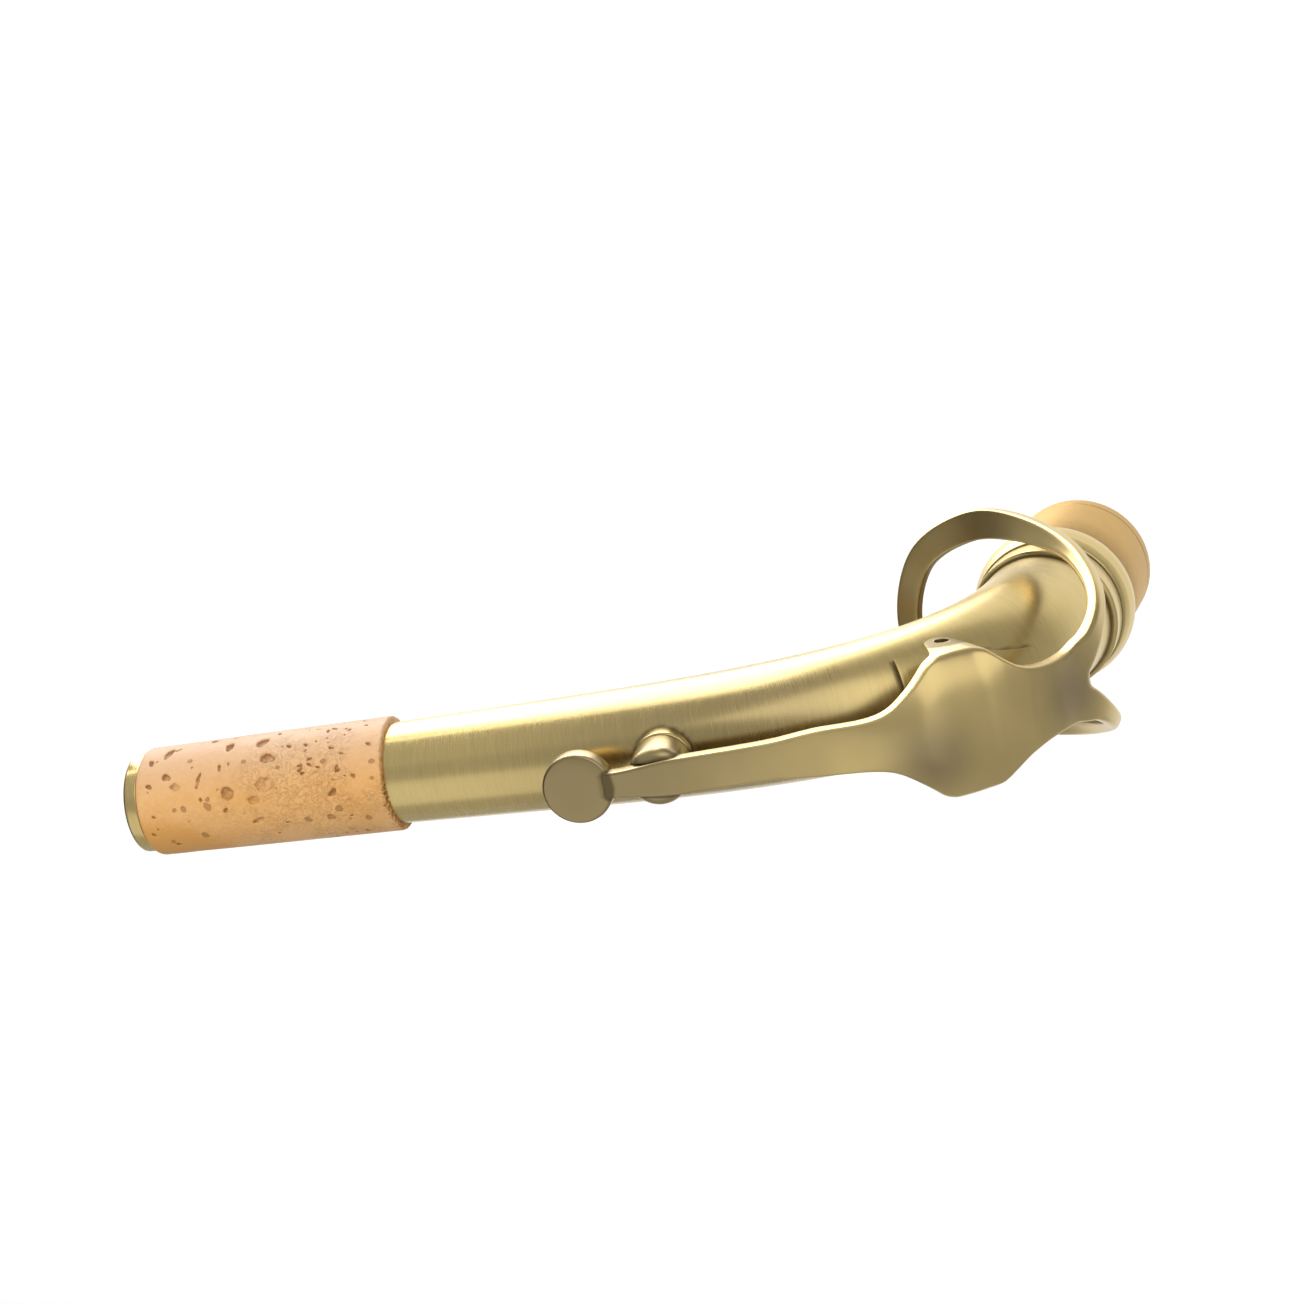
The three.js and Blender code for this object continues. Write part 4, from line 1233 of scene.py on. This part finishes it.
class NECK_OT_patina_and_shade(bpy.types.Operator):
    """Darken the brass in the corners where pieces meet, as antiquing does, and paint shade on the key's
    inner side and underside and on the tube and plate under the key
    """

    bl_idname = "neck.patina"
    bl_label = "Patina in the corners"

    def inner_shade_and_ear_dark(self, casting):
        """Painted shade on the key's inner side and underside, and a darkening of the ear faces round the
        pivot.
        """
        k = key_sizes()
        line = np.array([centre(place) for place in np.linspace(-0.01, neck_sizes().tube_length, 300)])
        pivot = on_neck(k.pivot_place, k.pivot_height)
        values = []
        for vertex in casting.data.vertices:
            spot, normal = vertex.co, vertex.normal
            inwards = Vector(line[np.argmin(((line - np.array(spot)) ** 2).sum(axis=1))]) - spot
            # Painted shade: faces turned to the tube and faces turned down are darkened.
            inner = 0.8 * step_between(normal.dot(inwards.normalized()), 0.25, 0.65)
            under = 0.7 * step_between(-normal.z, 0.2, 0.7)
            boss = 1 - step_between(math.hypot(spot.x - pivot.x, spot.z - pivot.z), 0.0032, 0.0045)
            values.append(max(inner, under, boss * step_between(abs(normal.y), 0.6, 0.9)))
        return values

    def execute(self, context):
        select_nothing()
        graph = context.evaluated_depsgraph_get()
        pieces = {piece.name: piece for piece in context.scene.objects
                  if piece.type == "MESH" and "brass" in piece.name}
        if len(pieces) < 10:
            raise RuntimeError("the brass pieces are not all there")
        trees = {name: BVHTree.FromObject(piece, graph) for name, piece in pieces.items()}
        key, plate = trees["octave_key_brass"], trees["saddle_plate_brass"]
        for name, piece in pieces.items():
            spots = [vertex.co for vertex in piece.data.vertices]
            others = [tree for other, tree in trees.items() if other != name]
            layers = [[seam_patina_and_shade(others, spot) for spot in spots]]
            # Painted shade: the tube and the plate are darkened under and beside the key.
            if name in ("neck_tube_brass", "saddle_plate_brass"):
                layers.append([0.62 * closeness(key, spot, 0.002, 0.007) for spot in spots])
            # Painted shadow: a dark line on the tube along the plate's edge.
            if name == "neck_tube_brass":
                layers.append([0.85 * closeness(plate, spot, 0.0004, 0.0013) for spot in spots])
            if name == "octave_key_brass":
                layers.append(self.inner_shade_and_ear_dark(piece))
            store(piece, "patina", np.max(layers, axis=0))
        return {"FINISHED"}


def area_light(name, spot, target, size, power, glossy=True, diffuse=True):
    """Soft rectangular light that no view shows directly."""
    lamp = bpy.data.lights.new(name, "AREA")
    lamp.shape = "RECTANGLE"
    lamp.size, lamp.size_y = size
    lamp.energy = power
    light = bpy.data.objects.new(name, lamp)
    bpy.context.scene.collection.objects.link(light)
    light.location = spot
    light.rotation_euler = (Vector(target) - Vector(spot)).to_track_quat("-Z", "Y").to_euler()
    light.visible_camera = False
    light.visible_glossy = glossy
    light.visible_diffuse = diffuse


# The camera that took the photograph: its place, what it looks along, its up and its lens in mm
CAMERA_SPOT = (-0.09036, -0.10826, 0.38525)
CAMERA_LOOK, CAMERA_UP = (0.38024, 0.25730, -0.88838), (-0.07081, -0.94961, -0.30534)
CAMERA_LENS, CAMERA_SENSOR = 66.35, 36


class NECK_OT_stage(bpy.types.Operator):
    """Lay the floor, hang the lights and place the camera"""

    bl_idname = "neck.stage"
    bl_label = "Floor, lights and camera"

    def lay_floor(self):
        """A pale floor, and a grey skirt and a dark card that only reflections show."""
        select_nothing()
        bpy.ops.mesh.primitive_plane_add(size=8, location=(0, 0, -0.16))
        floor = named("floor")
        pale = tuple(tones().floor)
        darker = tuple(c * 0.985 for c in pale)
        floor.data.materials.append(stage_paint("pale_floor", darker, pale, 3, 0.85))
        select_nothing()
        bpy.ops.mesh.primitive_cylinder_add(
            vertices=64, radius=0.32, depth=0.20, end_fill_type="NOTHING", location=(0.06, 0, -0.055))
        skirt = named("grey_skirt")
        skirt.data.materials.append(stage_paint("grey_card", (0.40,) * 3, (0.46,) * 3, 4, 0.9))
        select_nothing()
        bpy.ops.mesh.primitive_grid_add(
            x_subdivisions=4, y_subdivisions=4, size=0.7, location=(0.55, 0.05, 0.32),
            rotation=(0, math.radians(-62), 0))
        card = named("dark_card")
        card.data.materials.append(stage_paint("black_card", (0.05,) * 3, (0.07,) * 3, 4, 0.9))
        for panel in (skirt, card):
            panel.visible_camera = panel.visible_shadow = panel.visible_diffuse = False
        for panel in (floor, skirt, card):
            select_only(panel)
            bpy.ops.object.transform_apply(location=True, rotation=True)

    def hang_lights(self, scene):
        world = bpy.data.worlds.new("studio")
        world.use_nodes = True
        world.node_tree.nodes["Background"].inputs[0].default_value = (0.5, 0.5, 0.5, 1)
        scene.world = world
        area_light("window_side", (0.245, -0.23, -0.045), (0.245, 0.40, 0.733), (0.41, 0.334), 1.9,
                   diffuse=False)
        area_light("left_side", (-0.28, -0.32, 0.37), (0.04, 0, 0.05), (0.5, 0.42), 0.65)
        area_light("far_side", (0.20, 0.31, 0.56), (0.06, 0, 0.05), (0.6, 0.6), 0.45)
        area_light("window_top", (0.22, -0.58, 0.46), (0.08, 0, 0.05), (0.7, 0.65), 0.13)
        area_light("back_side", (-0.33, 0.14, 0.5), (0.02, 0, 0.06), (0.36, 0.3), 0.12)
        area_light("floor_wash", (0.1, -0.8, 1.4), (0.1, 0.05, 0), (2.4, 2.4), 31, glossy=False)

    def execute(self, context):
        scene = context.scene
        self.lay_floor()
        self.hang_lights(scene)
        lens = bpy.data.cameras.new("camera")
        lens.sensor_width, lens.lens = CAMERA_SENSOR, CAMERA_LENS
        lens.clip_start, lens.clip_end = 0.01, 50
        camera = bpy.data.objects.new("camera", lens)
        scene.collection.objects.link(camera)
        look = Vector(CAMERA_LOOK).normalized()
        right = look.cross(Vector(CAMERA_UP)).normalized()
        turn = Matrix((right, right.cross(look).normalized(), -look)).transposed()
        camera.matrix_world = Matrix.Translation(CAMERA_SPOT) @ turn.to_4x4()
        scene.camera = camera
        scene.view_settings.view_transform = "Standard"
        return {"FINISHED"}


STEPS = ("tube", "foot", "tip", "plate", "key", "pivot", "disc", "pip", "spring", "patina", "stage")


class NECK_PT_panel(bpy.types.Panel):
    """Steps and values of the saxophone neck"""

    bl_idname = "NECK_PT_panel"
    bl_label = "Saxophone Neck"
    bl_space_type = "VIEW_3D"
    bl_region_type = "UI"
    bl_category = "Sax Neck"

    def draw(self, context):
        layout = self.layout
        for step in STEPS:
            layout.operator("neck." + step)
        for group in (neck_sizes(), key_sizes(), tones()):
            box = layout.box()
            for name in group.__annotations__:
                box.prop(group, name)


CLASSES = (
    NeckSizes, KeySizes, NeckColours, NECK_OT_tube, NECK_OT_foot, NECK_OT_tip, NECK_OT_plate, NECK_OT_key,
    NECK_OT_pivot, NECK_OT_disc, NECK_OT_pip, NECK_OT_spring, NECK_OT_patina_and_shade, NECK_OT_stage, NECK_PT_panel,
)


def register():
    for cls in CLASSES:
        bpy.utils.register_class(cls)
    bpy.types.Scene.neck_sizes = PointerProperty(type=NeckSizes)
    bpy.types.Scene.key_sizes = PointerProperty(type=KeySizes)
    bpy.types.Scene.neck_colours = PointerProperty(type=NeckColours)


def unregister():
    del bpy.types.Scene.neck_colours, bpy.types.Scene.key_sizes, bpy.types.Scene.neck_sizes
    for cls in reversed(CLASSES):
        bpy.utils.unregister_class(cls)


def main():
    register()
    for step in STEPS:
        getattr(bpy.ops.neck, step)()


if __name__ == "__main__":
    main()
